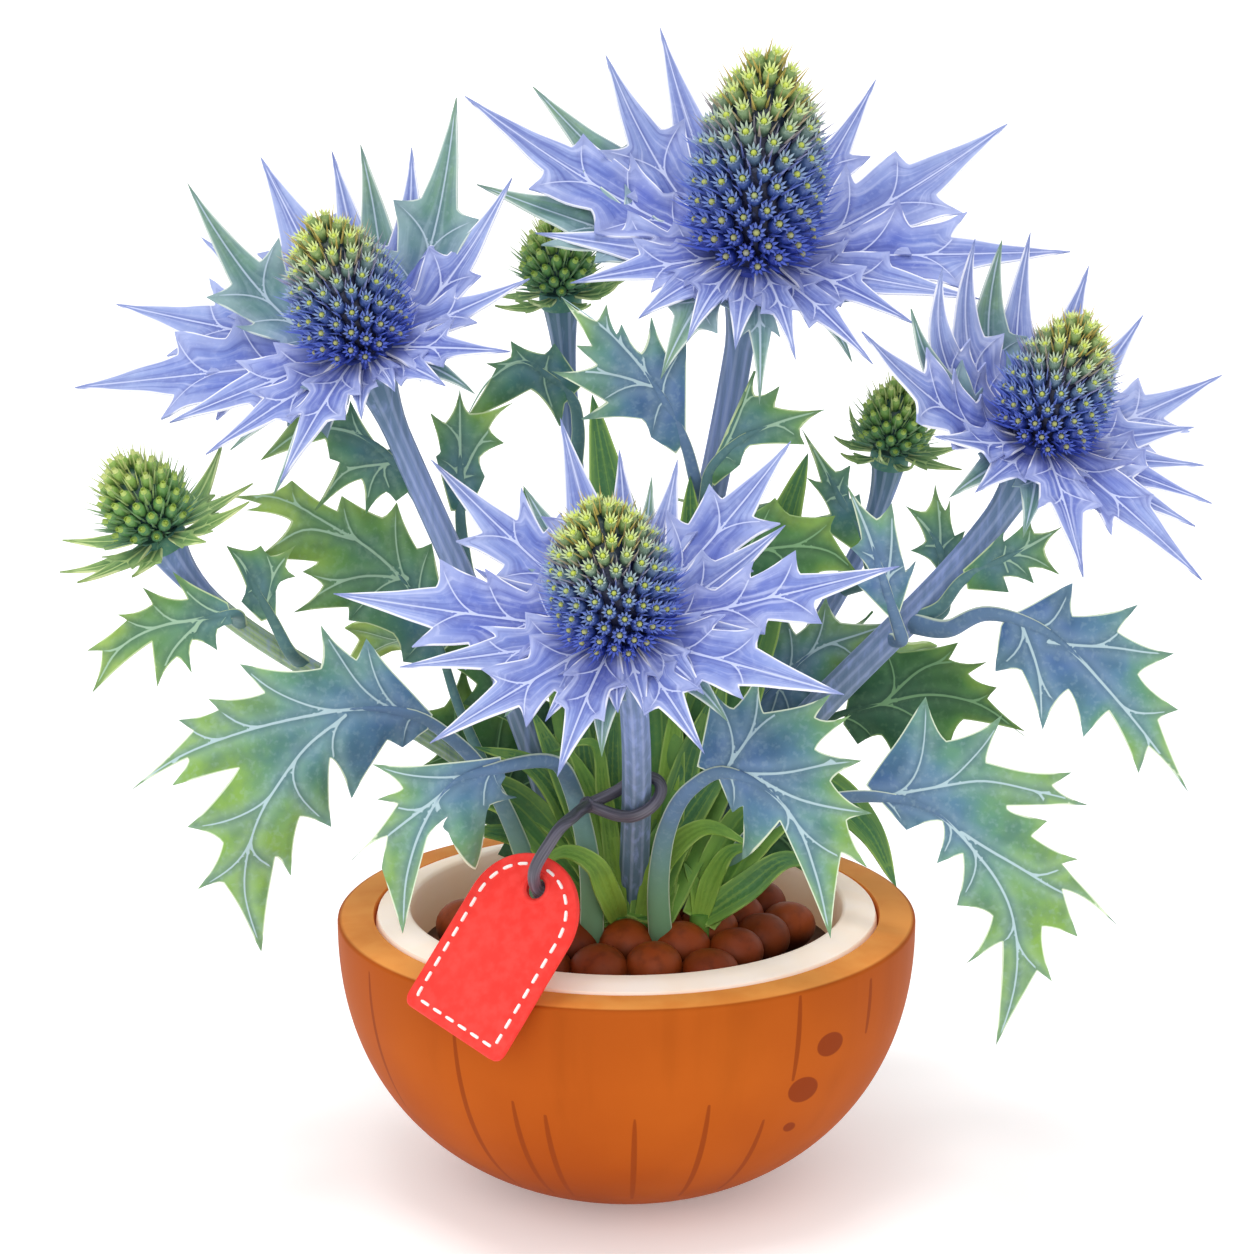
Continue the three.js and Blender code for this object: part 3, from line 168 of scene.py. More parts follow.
class Path:
    """A smooth line through points: a cubic between each two, its slopes the mean of its neighbours'."""

    def __init__(self, points):
        self.points = np.array(points, float)
        chord = np.linalg.norm(np.diff(self.points, axis=0), axis=1)
        self.length = chord.sum()
        self.t = np.concatenate([[0], np.cumsum(chord)]) / self.length

    def at(self, t):
        t = np.clip(np.atleast_1d(t), 0, 1)
        slopes = np.gradient(self.points, self.t, axis=0)
        k = np.clip(np.searchsorted(self.t, t, side="right") - 1, 0, len(self.t) - 2)
        h = (self.t[k + 1] - self.t[k])[:, None]
        u = (t - self.t[k])[:, None] / h
        p, q, m, n = self.points[k], self.points[k + 1], slopes[k] * h, slopes[k + 1] * h
        swing = 3 * u**2 - 2 * u**3
        return (1 - swing) * p + swing * q + (u**3 - 2 * u**2 + u) * m + (u**3 - u**2) * n

    def tangent(self, t):
        t = np.atleast_1d(t)
        return unit(self.at(np.minimum(t + 1e-3, 1)) - self.at(np.maximum(t - 1e-3, 0)))


def head_axes(flower):
    """The head's frame: z along its axis, which leans right and nods forward, x to its right, y to its
    back."""
    lean, nod = math.radians(flower["lean"]), math.radians(flower["nod"])
    z = unit(np.array([math.tan(lean), -math.tan(nod), 1.0]))
    x = unit(np.cross([0, 1, 0], z))
    return np.array([x, np.cross(z, x), z])


def to_world(flower, points):
    """Points along the head's own axes, in the shared frame."""
    return np.array(flower["at"], float) + points @ head_axes(flower)


def stem_curve(flower):
    """The stem's centreline from its root among the pebbles to the underside of the collar."""
    axis = head_axes(flower)[2]
    end = np.array(flower["at"], float) - axis * (COLLAR_THICK - 0.3)
    root = np.array([*flower["root"], 50.0])
    span = np.linalg.norm(end - root)
    up = np.array([flower["root"][0] * 0.6, flower["root"][1] * 0.6, span * 0.35])
    return Bezier(root, root + up, end - axis * span * 0.3, end)


# ------------------------------------------------------------------ meshes


class Shape:
    """One piece's points and faces, with a number per point for each thing that its material reads."""

    VALUES = ("along", "across", "vein", "tint", "part")

    def __init__(self):
        self.points, self.faces, self.values, self.count = [], [], [], 0

    def add(self, points, faces, **values):
        """Takes points in millimetres and faces that count from them."""
        points = np.asarray(points, float).reshape(-1, 3)
        self.points.append(points)
        self.faces.extend([tuple(int(i) + self.count for i in face) for face in faces])
        columns = [np.asarray(values.get(value, 0.0), float).ravel() for value in self.VALUES]
        self.values.append(np.column_stack([np.broadcast_to(column, len(points)) for column in columns]))
        self.count += len(points)

    def grid(self, points, around=False, **values):
        """Takes rows of points; with around, the last column meets the first."""
        rows, columns = points.shape[:2]
        wide = columns if around else columns - 1
        corner = lambda i, j: i * columns + j % columns
        faces = [
            (corner(i, j), corner(i, j + 1), corner(i + 1, j + 1), corner(i + 1, j))
            for i in range(rows - 1)
            for j in range(wide)
        ]
        flat = {k: np.broadcast_to(v, (rows, columns)).ravel() for k, v in values.items()}
        self.add(points, faces, **flat)

    def build(self, name, material, slot, *nodes, sharp=50):
        """Makes the piece, which rides on the root and stands for the CAD nodes named."""
        mesh = bpy.data.meshes.new(name)
        mesh.from_pydata((np.vstack(self.points) * MM).tolist(), [], self.faces)
        table = np.vstack(self.values)
        for k, value in enumerate(self.VALUES):
            numbers = mesh.attributes.new(value, "FLOAT", "POINT").data
            numbers.foreach_set("value", table[:, k].astype(np.float32))
        mesh.polygons.foreach_set("use_smooth", [True] * len(mesh.polygons))
        mesh.set_sharp_from_angle(angle=math.radians(sharp))
        mesh.materials.append(material)
        piece = bpy.data.objects.new(name, mesh)
        bpy.context.collection.objects.link(piece)
        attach(piece, "root")
        if nodes:
            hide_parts(*nodes)
        return piece


def tube(
    shape, curve, radius, around=12, steps=30, grooves=0, depth=0.0, along=None, rim=None, flat=1.0, **values
):
    """Adds a closed tube along a curve; radius gives the radius at each share, grooves flute it, and flat
    is its depth from front to back as a share of its width."""
    t = np.linspace(0, 1, steps + 1)
    centre, forward = curve.at(t), curve.tangent(t)
    side = unit(np.cross(forward, [0.03, 1, 0.02]))
    other = np.cross(forward, side)
    angle = np.linspace(0, 2 * np.pi, around, endpoint=False)
    r = np.array([radius(x) for x in t])[:, None] * (1 + depth * np.cos(grooves * angle))[None, :]
    across, up = np.cos(angle)[None, :, None], flat * np.sin(angle)[None, :, None]
    points = centre[:, None, :] + r[:, :, None] * (across * side[:, None, :] + up * other[:, None, :])
    first, last = shape.count, shape.count + steps * around
    across = (angle / (2 * np.pi))[None, :] if rim is None else rim
    along = t[:, None] if along is None else along
    shape.grid(points, around=True, along=along, across=across, **values)
    shape.faces.append(tuple(first + j for j in reversed(range(around))))
    shape.faces.append(tuple(last + j for j in range(around)))


# ------------------------------------------------------------------ leaves and bracts
# A blade is first cut out flat: its edge is a list of points that alternate notch, tip, notch, tip, from
# one side of its base round to the other, and its ribs are lines that end at tips. Then it is lifted into
# its curved place.


def spiny_edge(points, step, round_by):
    """The edge through notches and tips: at a notch it runs parallel to the line from the tip before to the
    tip after, so that notches are round like a U, and it comes to a spine at each tip. Quadratic curves
    join them, with their middle point at most round_by from the notch, and the longer they are, the
    straighter."""
    points, pieces = np.array(points, float), []
    for k in range(len(points) - 1):
        a, b = points[k], points[k + 1]
        notch = k + k % 2
        way = unit(points[min(notch + 1, len(points) - 1)] - points[max(notch - 1, 0)])
        reach = min(0.5 * abs((b - a) @ way), round_by) * (1 if notch == k else -1)
        t = np.linspace(0, 1, max(2, math.ceil(np.linalg.norm(b - a) / step)), endpoint=False)[:, None]
        straight = np.clip(np.linalg.norm(b - a) / 25, 0.28, 0.6)
        bend = (1 - straight) * (points[notch] + way * reach) + straight * (a + b) / 2
        pieces.append((1 - t) ** 2 * a + 2 * t * (1 - t) * bend + t**2 * b)
    return np.vstack([*pieces, points[-1:]])


def distances(points, a, b):
    """Each point's distance to each of the segments from a to b."""
    run = b - a
    share = ((points[:, None] - a) * run).sum(2) / np.maximum((run**2).sum(1), 1e-9)
    return np.linalg.norm(points[:, None] - a - np.clip(share, 0, 1)[..., None] * run, axis=2)


def is_inside(points, loop):
    """Whether each point is inside a closed line: a ray to its right crosses it an odd number of times."""
    a, b = loop, np.roll(loop, -1, axis=0)
    x, y = points[:, :1], points[:, 1:]
    spans = (a[:, 1] > y) != (b[:, 1] > y)
    rise = np.where(b[:, 1] == a[:, 1], 1e-9, b[:, 1] - a[:, 1])
    return (spans & (x < a[:, 0] + (y - a[:, 1]) / rise * (b[:, 0] - a[:, 0]))).sum(1) % 2 == 1


def vein_lines(edge, ribs, step, fine, slanted):
    """The ribs and, if they're slanted, for each tip that no rib reaches a side vein that leaves the
    best-placed rib at a slant and bends out to the tip. Gives each line's points with its half width at
    each of them; fine is the width of the thickest of them."""
    ribs = [Path(rib) for rib in ribs]
    lines, roots, ways = [], [], []
    for k, rib in enumerate(ribs):
        t = np.linspace(0, 1, max(4, math.ceil(rib.length / step)))
        lines.append((rib.at(t), fine * (0.5 if k == 0 else 0.36) * (1 - t) + 0.04))
        keep = t < 0.93
        roots.append(rib.at(t)[keep])
        ways.append(rib.tangent(t)[keep])
    roots, ways = np.vstack(roots), np.vstack(ways)
    for tip in np.array(edge, float)[1::2] if slanted else []:
        if min(np.linalg.norm(tip - rib.at(1)[0]) for rib in ribs) < 2:
            continue
        run = tip - roots
        far = np.linalg.norm(run, axis=1)
        best = np.argmin(far - 0.72 * (run * ways).sum(1))
        bend = roots[best] + ways[best] * 0.4 * far[best]
        t = np.linspace(0, 0.96, max(4, math.ceil(far[best] / step)))[:, None]
        line = (1 - t) ** 2 * roots[best] + 2 * t * (1 - t) * bend + t**2 * tip
        lines.append((line, 0.22 * fine * (1 - t[:, 0]) + 0.03))
    return lines


def blade(
    shape, edge, ribs, lift, step=1.6, thick=0.5, quilt=0.45, round_by=3.5, fine=0.42, slanted=True, **values
):
    """Adds a blade cut along its edge: the flat outline is split into triangles that follow its veins, more
    of them where veins crowd, lifted into place, and given two faces and a rim. Between its veins it
    swells by the quilt. Its along runs from base to tip, its across is the distance to the edge and its
    vein the distance to a vein's side, in millimetres, both more near a tip, which stays green; its part
    runs from 0 on the midrib to 1 at the edge."""
    loop = spiny_edge(edge, step, round_by)
    lines = vein_lines(edge, ribs, step, fine, slanted)
    starts = np.vstack([line[:-1] for line, _ in lines])
    ends = np.vstack([line[1:] for line, _ in lines])
    wide = np.concatenate([(w[:-1] + w[1:]) / 2 for _, w in lines])
    rim = lambda p: distances(p, loop, np.roll(loop, -1, axis=0)).min(1)

    low, high = loop.min(0), loop.max(0)
    x, y = np.meshgrid(np.arange(low[0], high[0], step), np.arange(low[1], high[1], step * 0.87))
    x = x + (np.arange(x.shape[0]) % 2)[:, None] * step / 2
    fill = np.column_stack([x.ravel(), y.ravel()])
    fill = fill[is_inside(fill, loop)]
    fill = fill[(rim(fill) > 0.6 * step) & (distances(fill, starts, ends).min(1) > 0.6 * step)]
    points, bonds = [loop], []
    count = len(loop)
    for line, _ in lines:
        line = line[is_inside(line, loop)]
        line = line[rim(line) > 0.3]
        bonds += [(count + k, count + k + 1) for k in range(len(line) - 1)]
        points.append(line)
        count += len(line)
    vein_gap = lambda p: (distances(p, starts, ends) - wide).min(1)
    for _ in range(3):
        flat, _, triangles, _, _, _ = delaunay_2d_cdt(
            [Vector(p) for p in np.vstack([*points, fill])], bonds, [list(range(len(loop)))], 1, 1e-4, False
        )
        flat, triangles = np.array([p[:] for p in flat]), np.array(triangles)
        middles = flat[triangles].mean(1)
        inside = is_inside(middles, loop)
        triangles, middles = triangles[inside], middles[inside]
        vein, edge_gap = vein_gap(flat), rim(flat)
        missed = vein_gap(middles) - np.clip(vein[triangles], -1, 1.2).mean(1) > 0.25
        missed |= rim(middles) - edge_gap[triangles].mean(1) > 0.15
        if not missed.any():
            break
        fill = np.vstack([fill, middles[missed]])

    place = lift(flat)
    a, b, c = (place[triangles[:, k]] for k in range(3))
    normal = np.zeros_like(place)
    np.add.at(normal, triangles.ravel(), np.repeat(np.cross(b - a, c - a), 3, axis=0))
    normal = unit(normal)
    rib = lines[0][0]
    rib_gap = distances(flat, rib[:-1], rib[1:]).min(1)
    part = rib_gap / (rib_gap + edge_gap + 1e-6)
    swell = quilt * (1 - np.exp(-((vein / 1.8) ** 2))) * ease(edge_gap / 2)
    tips = np.array(edge, float)[1::2]
    tip_gap = np.linalg.norm(flat[:, None] - tips, axis=2).min(1)
    near_tip = ease(1.2 - tip_gap / 3.5)
    edge_gap, vein = edge_gap + 0.5 * near_tip, vein + 0.2 * near_tip
    base = np.array(ribs[0][0], float)
    along = np.linalg.norm(flat - base, axis=1)
    along = along / along.max()
    middle = place + normal * swell[:, None]
    sides = np.stack([triangles, np.roll(triangles, -1, axis=1)], 2).reshape(-1, 2)
    _, first, times = np.unique(np.sort(sides, axis=1), axis=0, return_index=True, return_counts=True)
    n = len(flat)
    walls = [(j, i, i + n, j + n) for i, j in sides[first[times == 1]]]
    faces = [tuple(f) for f in triangles] + [tuple(f[::-1] + n) for f in triangles] + walls
    twice = lambda v: np.concatenate([v, v])
    shape.add(
        np.vstack([middle + normal * thick / 2, middle - normal * thick / 2]), faces,
        along=twice(along), across=twice(edge_gap), vein=twice(vein), part=twice(part), **values,
    )


def front_lift(rib, tilt, seed):
    """Places a flat blade that is drawn as seen from the front, [right, up]: each point's depth is a mean
    of the rib's depths, nearest first, and changes with its height above the rib by the tilt; the edge
    ripples a little."""
    near = rib.at(np.linspace(0, 1, 40))
    turn = 6.3 * noise(seed + np.arange(2))

    def lift(flat):
        gap = ((flat[:, None] - near[None, :, ::2]) ** 2).sum(2)
        weight = 1 / (gap + 4) ** 2
        depth = near[:, 1] + tilt * (flat[:, 1:] - near[:, 2])
        y = (weight * depth).sum(1) / weight.sum(1)
        out = np.sqrt(gap.min(1))
        wave = np.sin(0.3 * flat[:, 0] + turn[0]) * np.sin(0.27 * flat[:, 1] + turn[1])
        y = y + 1.3 * np.minimum(out / 10, 1) * wave
        return np.column_stack([flat[:, 0], y, flat[:, 1]])

    return lift


def rib_lift(curve, face, start, length, fold, seed):
    """Places a flat blade that is drawn along its rib, [along, out]: the rib follows the curve, the halves
    are folded up along it, and the edge ripples. face is what the upper side looks towards; of two, the
    blade turns from the first to the second over its first third."""
    angle = math.radians(fold)

    def lift(flat):
        t = np.clip(start + (1 - start) * flat[:, 0] / length, 0, 1)
        forward = curve.tangent(t)
        share = np.clip(3 * t, 0, 1)[:, None]
        first, last = face if isinstance(face, list) else (face, face)
        up = (1 - share) * first + share * last
        side = unit(np.cross(up, forward))
        normal = np.cross(forward, side)
        out, gap = flat[:, 1], np.sqrt(flat[:, 1] ** 2 + 0.3)
        ripple = 0.06 * np.abs(out) * np.sin(0.55 * flat[:, 0] + 6.3 * float(noise(seed)) + 1.6 * (out > 0))
        raised = gap * math.sin(angle) + ripple
        return curve.at(t) + side * (out * math.cos(angle))[:, None] + normal * raised[:, None]

    return lift


def outline(x):
    """Half a blade's width, as a share of its widest, at a share x of its length: fullest before the
    middle."""
    return np.sin(np.pi * np.clip(x, 0, 1) ** 0.75) ** 0.8


def leaf_edge(length, width, teeth, stalk, seed):
    """A leaf's edge drawn along its rib: on each side evenly pitched spines that lean forward, a little
    uneven."""
    sides = []
    pitch = 0.8 / teeth
    for side in (0, 1):
        points = [(0.0, stalk)]
        for k in range(teeth):
            tip = 0.04 + pitch * (k + 0.8)
            jut = 0.5 * width * float(outline(tip)) * (0.95 + 0.35 * float(noise(seed + 2 * k + side)))
            points.append((tip * length, jut))
            notch = 0.04 + pitch * (k + 0.86)
            points.append((notch * length, max(0.27 * width * float(outline(notch)), 0.6)))
        sides.append(points)
    right = [(s, -d) for s, d in reversed(sides[1])]
    return [*sides[0], (length, 0.0), *right]


# Half a bract's outline as shares of its length, for one, two and three spines a side: notch, tip, notch,
# tip.
BRACT_SIDES = {
    1: [(0, 0.07), (0.5, 0.18), (0.47, 0.115)],
    2: [(0, 0.055), (0.36, 0.17), (0.37, 0.11), (0.6, 0.17), (0.58, 0.085)],
    3: [(0, 0.045), (0.28, 0.13), (0.3, 0.09), (0.48, 0.18), (0.49, 0.105), (0.68, 0.16), (0.66, 0.07)],
}


def bract_edge(length, width, spines, seed):
    """A bract's edge drawn along its rib: a spear-shaped body with long forward spines and a long firm tip.
    Its width is a share of the usual one; no two sides are alike."""
    shares = np.array(BRACT_SIDES[spines])
    k = np.arange(len(shares))
    sides = []
    for side in (0, 1):
        jut = np.where(k % 2 == 1, 0.8 + 0.4 * noise(seed + 3 * k + side), 1.0)
        slide = np.where(k > 0, 0.08 * (noise(seed + 11 + 5 * (k // 2) + 2 * side) - 0.5), 0)
        sides.append(np.column_stack([(shares[:, 0] + slide) * length, shares[:, 1] * length * width * jut]))
    right = sides[1][::-1] * [1, -1]
    return [*map(tuple, sides[0]), (length, 0.0), *map(tuple, right)]


def arc_length(curve):
    """The length of a curve, measured over 59 straight steps."""
    return float(np.linalg.norm(np.diff(curve.at(np.linspace(0, 1, 60)), axis=0), axis=1).sum())


# ------------------------------------------------------------------ materials


def colour(code):
    """A hex colour as the linear numbers that Blender takes."""
    parts = [int(code[i : i + 2], 16) / 255 for i in (1, 3, 5)]
    return (*[c / 12.92 if c < 0.04045 else ((c + 0.055) / 1.055) ** 2.4 for c in parts], 1)


class Finish:
    """A material under construction: its nodes, the numbers that a Shape's points carry, and the place in the
    object's own space."""

    def __init__(self, name, **sockets):
        self.material = bpy.data.materials.new(name)
        self.material.use_nodes = True
        self.tree = self.material.node_tree
        self.surface = self.tree.nodes["Principled BSDF"]
        self.plug(self.surface, {key.replace("_", " "): value for key, value in sockets.items()})
        self.along, self.across, self.vein, self.tint, self.part = (
            self.add("Attribute", out="Fac", attribute_name=value) for value in Shape.VALUES
        )
        self.place = self.add("TexCoord", out="Object")

    def plug(self, node, sockets):
        """Fills a node's sockets, by number or name, with links, hex colours or plain values."""
        for key, value in sockets.items():
            if isinstance(value, bpy.types.NodeSocket):
                self.tree.links.new(value, node.inputs[key])
            else:
                node.inputs[key].default_value = colour(value) if isinstance(value, str) else value

    def add(self, kind, *values, out=None, stops=(), **settings):
        """Adds one node and gives its first open output, or the one named. Values fill its open sockets in
        order, settings with a capital fill sockets by name, and the others are the node's own. Stops are a
        ramp's places and colours."""
        node = self.tree.nodes.new("ShaderNode" + kind)
        named = {key: settings.pop(key) for key in list(settings) if key[0].isupper()}
        for key, value in settings.items():
            setattr(node, key, value)
        for _ in stops[2:]:
            node.color_ramp.elements.new(0.5)
        for k, (place, code) in enumerate(stops):
            node.color_ramp.elements[k].position = place
            node.color_ramp.elements[k].color = colour(code)
        in_order = [k for k, socket in enumerate(node.inputs) if socket.enabled]
        self.plug(node, {**dict(zip(in_order, values)), **named})
        return node.outputs[out] if out else next(socket for socket in node.outputs if socket.enabled)

    def coats(self, base, *coats):
        """Lays colours over a base in turn. A coat is a number, the value at which its share starts and the
        one at which it ends, its share at each, and its colour; between the two the share changes
        softly."""
        for *step, code in coats:
            share = self.add("MapRange", *step, interpolation_type="SMOOTHSTEP")
            base = self.add("Mix", share, base, code, data_type="RGBA")
        return base

    def done(self, base, relief=None, strength=0.3, depth=0.0005):
        """Gives the material its colour and the relief of its grain, its depth in metres."""
        if relief is not None:
            bump = self.add("Bump", Height=relief, Strength=strength, Distance=depth)
            self.plug(self.surface, {"Normal": bump})
        self.plug(self.surface, {"Base Color": base})
        return self.material


def blade_skin(
    name, lengthwise, shade, vein, margin, foot="#6f9a74", glow=0.15, fibres=0.0, clouds=0.4, roughness=0.55,
    sorts=0.2, hair=0.16, edging=0.0, beside=0.34, ridge=0.85,
):
    """A leaf's or bract's waxy skin: its colour runs from base to tip with darker clouds, and from another
    colour up its stalk. Veins and the thick margin are pale, a dark line of shade lies beside each vein
    and a paler glow beyond. Fibres are fine streaks along the blade. Clouds are 10.5 and 6.7 mm wide and
    flecks 1.25 mm."""
    finish = Finish(name, Roughness=roughness, Specular_IOR_Level=0.25)
    add, streaks = finish.add, []
    cloud, patch, fleck = (
        add("TexNoise", finish.place, Scale=1 / (size * MM), Detail=detail)
        for size, detail in ((10.5, 5), (6.67, 6), (1.25, 2))
    )
    wander = finish.along
    shifts = (cloud, 0.5, 0.55), (finish.part, 0.35, edging), (finish.tint, 0.5, sorts)
    for number, middle, weight in shifts:
        shift = add("Math", number, middle, operation="SUBTRACT")
        wander = add("Math", shift, weight, wander, operation="MULTIPLY_ADD")
    if fibres:
        thread = add("CombineXYZ", finish.along, finish.part, finish.tint)
        thread = add("VectorMath", thread, (2.5, 4.5, 60), operation="MULTIPLY")
        streak = add("TexNoise", thread, Scale=1.3, Detail=5)
        streaks = [
            (finish.part, 0.4, 1, 0, 0.35, vein),
            (streak, 0.5, 0.75, 0, fibres, vein),
            (streak, 0.48, 0.28, 0, fibres, shade),
        ]
    base = finish.coats(
        add("ValToRGB", wander, stops=lengthwise),
        (patch, 0.4, 0.68, 0, clouds, shade),
        (finish.vein, 0.9, 3.4, glow, 0, vein),
        (finish.vein, 0.2, 1.5, beside, 0, shade),
        (fleck, 0.5, 0.7, 0, 0.12, vein),
        *streaks,
        (finish.along, -0.06, -0.4, 0, 1, foot),
        (finish.vein, 0, hair, ridge, 0, vein),
        (finish.across, 0.1, 0.36, 0.9, 0, margin),
    )
    ridges = add("MapRange", finish.vein, 0, 0.6, 1, 0, interpolation_type="SMOOTHSTEP")
    return finish.done(base, add("Math", ridges, cloud, operation="ADD"), 0.3, 0.0004)


def make_skins():
    """Every material, by the name that the pieces know it by."""
    skins = {
        "leaf": blade_skin(
            "waxy_leaf", [(0.12, "#4a6b9a"), (0.36, "#547c94"), (0.58, "#5e8e74"), (0.86, "#7fa64f")],
            "#35586a", "#b4ccd2", "#dce8cc", edging=0.22,
        ),
        "leaf_green": blade_skin(
            "waxy_leaf_green", [(0.12, "#446f80"), (0.38, "#4f7f6a"), (0.66, "#62904e"), (0.92, "#90b04c")],
            "#2c5448", "#a4c4a8", "#c4d6a2", foot="#66894e", edging=0.25,
        ),
        # A darker copy of the leaf skin for leaves low down, behind or deep in the plant: painted shade.
        "leaf_dark": blade_skin(
            "waxy_leaf_dark", [(0.1, "#2c5446"), (0.45, "#35633f"), (0.8, "#4c7c3f"), (1.0, "#7c9f45")],
            "#1d3b30", "#7fa878", "#93b070", foot="#3f6b3c", edging=0.3,
        ),
        "strap": blade_skin(
            "fleshy_strap", [(0.0, "#7ea33c"), (0.4, "#5f8f3a"), (0.75, "#3f7340"), (1.0, "#35694a")],
            "#2d5a30", "#8fb34c", "#93b35c", foot="#6f9a48", glow=0.1, fibres=0.2, clouds=0.35, sorts=1.0,
            beside=0.08, ridge=0.3,
        ),
        "bract": blade_skin(
            "papery_bract", [(0.0, "#3646a0"), (0.22, "#4c5eba"), (0.55, "#687cc6"), (0.95, "#94a6d6")],
            "#3a479c", "#ccd4f4", "#f4f5ff", glow=0.14, fibres=0.5, clouds=0.3, roughness=0.5, hair=0.12,
        ),
        "outer_bract": blade_skin(
            "papery_bract_green", [(0.0, "#5f74c4"), (0.35, "#5c8199"), (0.7, "#5c8c70"), (0.98, "#83a660")],
            "#3f6076", "#b4c8d8", "#d6e2da", fibres=0.25,
        ),
        "bud_bract": blade_skin(
            "green_bract", [(0.0, "#4f8078"), (0.3, "#568a58"), (0.65, "#74a04c"), (0.98, "#a5bd5a")],
            "#2f5a3e", "#b4cc88", "#d0dca0", glow=0.2, fibres=0.4,
        ),
        "floret": floret_skin(
            "waxy_floret", ("#060a2c", "#0c1640", "#1e3c3c"), ("#1c2f8c", "#38538e", "#7e9a58"),
            ("#6478d4", "#93abd0", "#dce8a0"), ("#a4a470", "#b4c050", "#c4d450"),
            ("#4a60cc", "#6f84d4", "#c0aa5c"),
        ),
        "bud_floret": floret_skin(
            "waxy_green_floret", ("#1c3c48", "#204a44", "#305c3c"), ("#4f8058", "#5f9048", "#86a84a"),
            ("#a8c464", "#b6d068", "#d0dc8c"), ("#b8cc60", "#c0d060", "#d2dc78"),
            ("#5f8a70", "#7a9c6c", "#b8c47c"),
        ),
        "stem": stem_skin(
            "ribbed_stem",
            [(0.0, "#608a74"), (0.22, "#5c7484"), (0.48, "#6c8098"), (0.75, "#7e90c0"), (1.0, "#50707e")],
        ),
        "bud_stem": stem_skin(
            "ribbed_bud_stem",
            [(0.0, "#5f8a66"), (0.4, "#8fae84"), (0.82, "#a4bc8c"), (0.89, "#7688b8"), (1.0, "#6078a0")],
        ),
    }
    for piece, skin in (
        ("shell", shell_skin), ("flesh", flesh_skin), ("pebble", pebble_skin),
        ("tag", tag_skin), ("thread", thread_skin), ("cord", cord_skin),
    ):
        skins[piece] = skin()
    return skins


def floret_skin(name, foot, body, crown, heart, bristle):
    """Waxy florets: each part takes three colours, for the cone's foot, middle and tip. A floret is darkest
    at its own foot, painted shade in the gaps between florets that the core under them shares too; its part
    is 0 to 0.4 up the body, 0.6 on the crown, 0.8 on the heart and 1 on a bristle."""
    finish = Finish(name, Roughness=0.42)
    foot, body, crown, heart, bristle = (
        finish.add("ValToRGB", finish.along, stops=list(zip((0.12, 0.52, 0.82), codes)))
        for codes in (foot, body, crown, heart, bristle)
    )
    mottle = finish.add("TexNoise", finish.place, Scale=1 / (1.11 * MM), Detail=2)
    # The near-black foot colour is painted shade between the florets and on the core under them.
    base = finish.coats(
        foot,
        (finish.part, 0.02, 0.4, 0, 1, body),
        (finish.part, 0.49, 0.51, 0, 1, crown),
        (finish.part, 0.69, 0.71, 0, 1, heart),
        (finish.part, 0.89, 0.91, 0, 1, bristle),
        (mottle, 0.5, 0.7, 0, 0.25, crown),
    )
    return finish.done(base, mottle, 0.15, 0.0002)


def stem_skin(name, lengthwise):
    """A fluted stem's waxy skin: violet-blue with a painted highlight on its ribs and painted shade in its
    green-blue grooves, greener at its foot and under the head, with upright streaks 1.5 mm wide and 33 mm
    long."""
    finish = Finish(name, Roughness=0.5, Specular_IOR_Level=0.2)
    add = finish.add
    turn = add("Math", finish.across, 2 * math.pi * FLUTES, operation="MULTIPLY")
    flute = add("Math", turn, operation="COSINE")
    upright = add("Mapping", finish.place, Scale=[1 / (size * MM) for size in (1.54, 1.54, 33.3)])
    streak = add("TexNoise", upright, Scale=1, Detail=3)
    base = finish.coats(
        add("ValToRGB", finish.along, stops=lengthwise),
        # painted highlight on the ribs and painted shade in the grooves
        (flute, 0.2, 1, 0, 0.3, "#b4c0e2"),
        (flute, -0.4, -1, 0, 0.3, "#5c768e"),
        (streak, 0.5, 0.7, 0, 0.5, "#94a5d8"),
        (streak, 0.5, 0.32, 0, 0.35, "#55708a"),
    )
    return finish.done(base, streak, 0.25, 0.0003)


def shell_skin():
    """Sanded coconut shell: orange-brown with long darker grain, 10 mm wide, painted shade towards its foot,
    thin seams that run up from the foot, a paler sawn rim, and three dark round pores low on the right."""
    finish = Finish("sanded_coconut_shell", Roughness=0.55, Specular_IOR_Level=0.05)
    add = finish.add
    upright = add("Mapping", finish.place, Scale=[1 / (size * MM) for size in (10.5, 10.5, 105)])
    grain = add("TexNoise", upright, Scale=1, Detail=6)
    patch = add("TexNoise", finish.place, Scale=1 / (45.5 * MM), Detail=3)
    # The lengthwise ramp darkens the shell towards its foot: painted shade.
    lengthwise = [(0.0, "#8c3c0c"), (0.35, "#a44a0e"), (0.7, "#b05314"), (1.0, "#aa5014")]
    base = finish.coats(
        add("ValToRGB", finish.along, stops=lengthwise),
        (grain, 0.5, 0.75, 0, 0.5, "#96440c"),
        (patch, 0.4, 0.75, 0, 0.4, "#c2621a"),
        (finish.across, 0, 0.3, 0.8, 0, "#8a3a0e"),
    )
    flat = add("VectorMath", finish.place, (1, 0, 1), operation="MULTIPLY")
    for x, z, radius in PORES:
        gap = add("VectorMath", flat, (x * MM, 0, z * MM), operation="DISTANCE")
        share = add(
            "MapRange", gap, (radius - 0.3) * MM, radius * MM, 0.9, 0, interpolation_type="SMOOTHSTEP"
        )
        share = add("Math", share, finish.tint, operation="MULTIPLY")
        base = add("Mix", share, base, "#843410", data_type="RGBA")
    sawn = finish.coats("#f6a250", (grain, 0.35, 0.7, 0, 1, "#ee9242"))
    base = add("Mix", finish.part, base, sawn, data_type="RGBA")
    return finish.done(base, grain, 0.2, 0.0004)


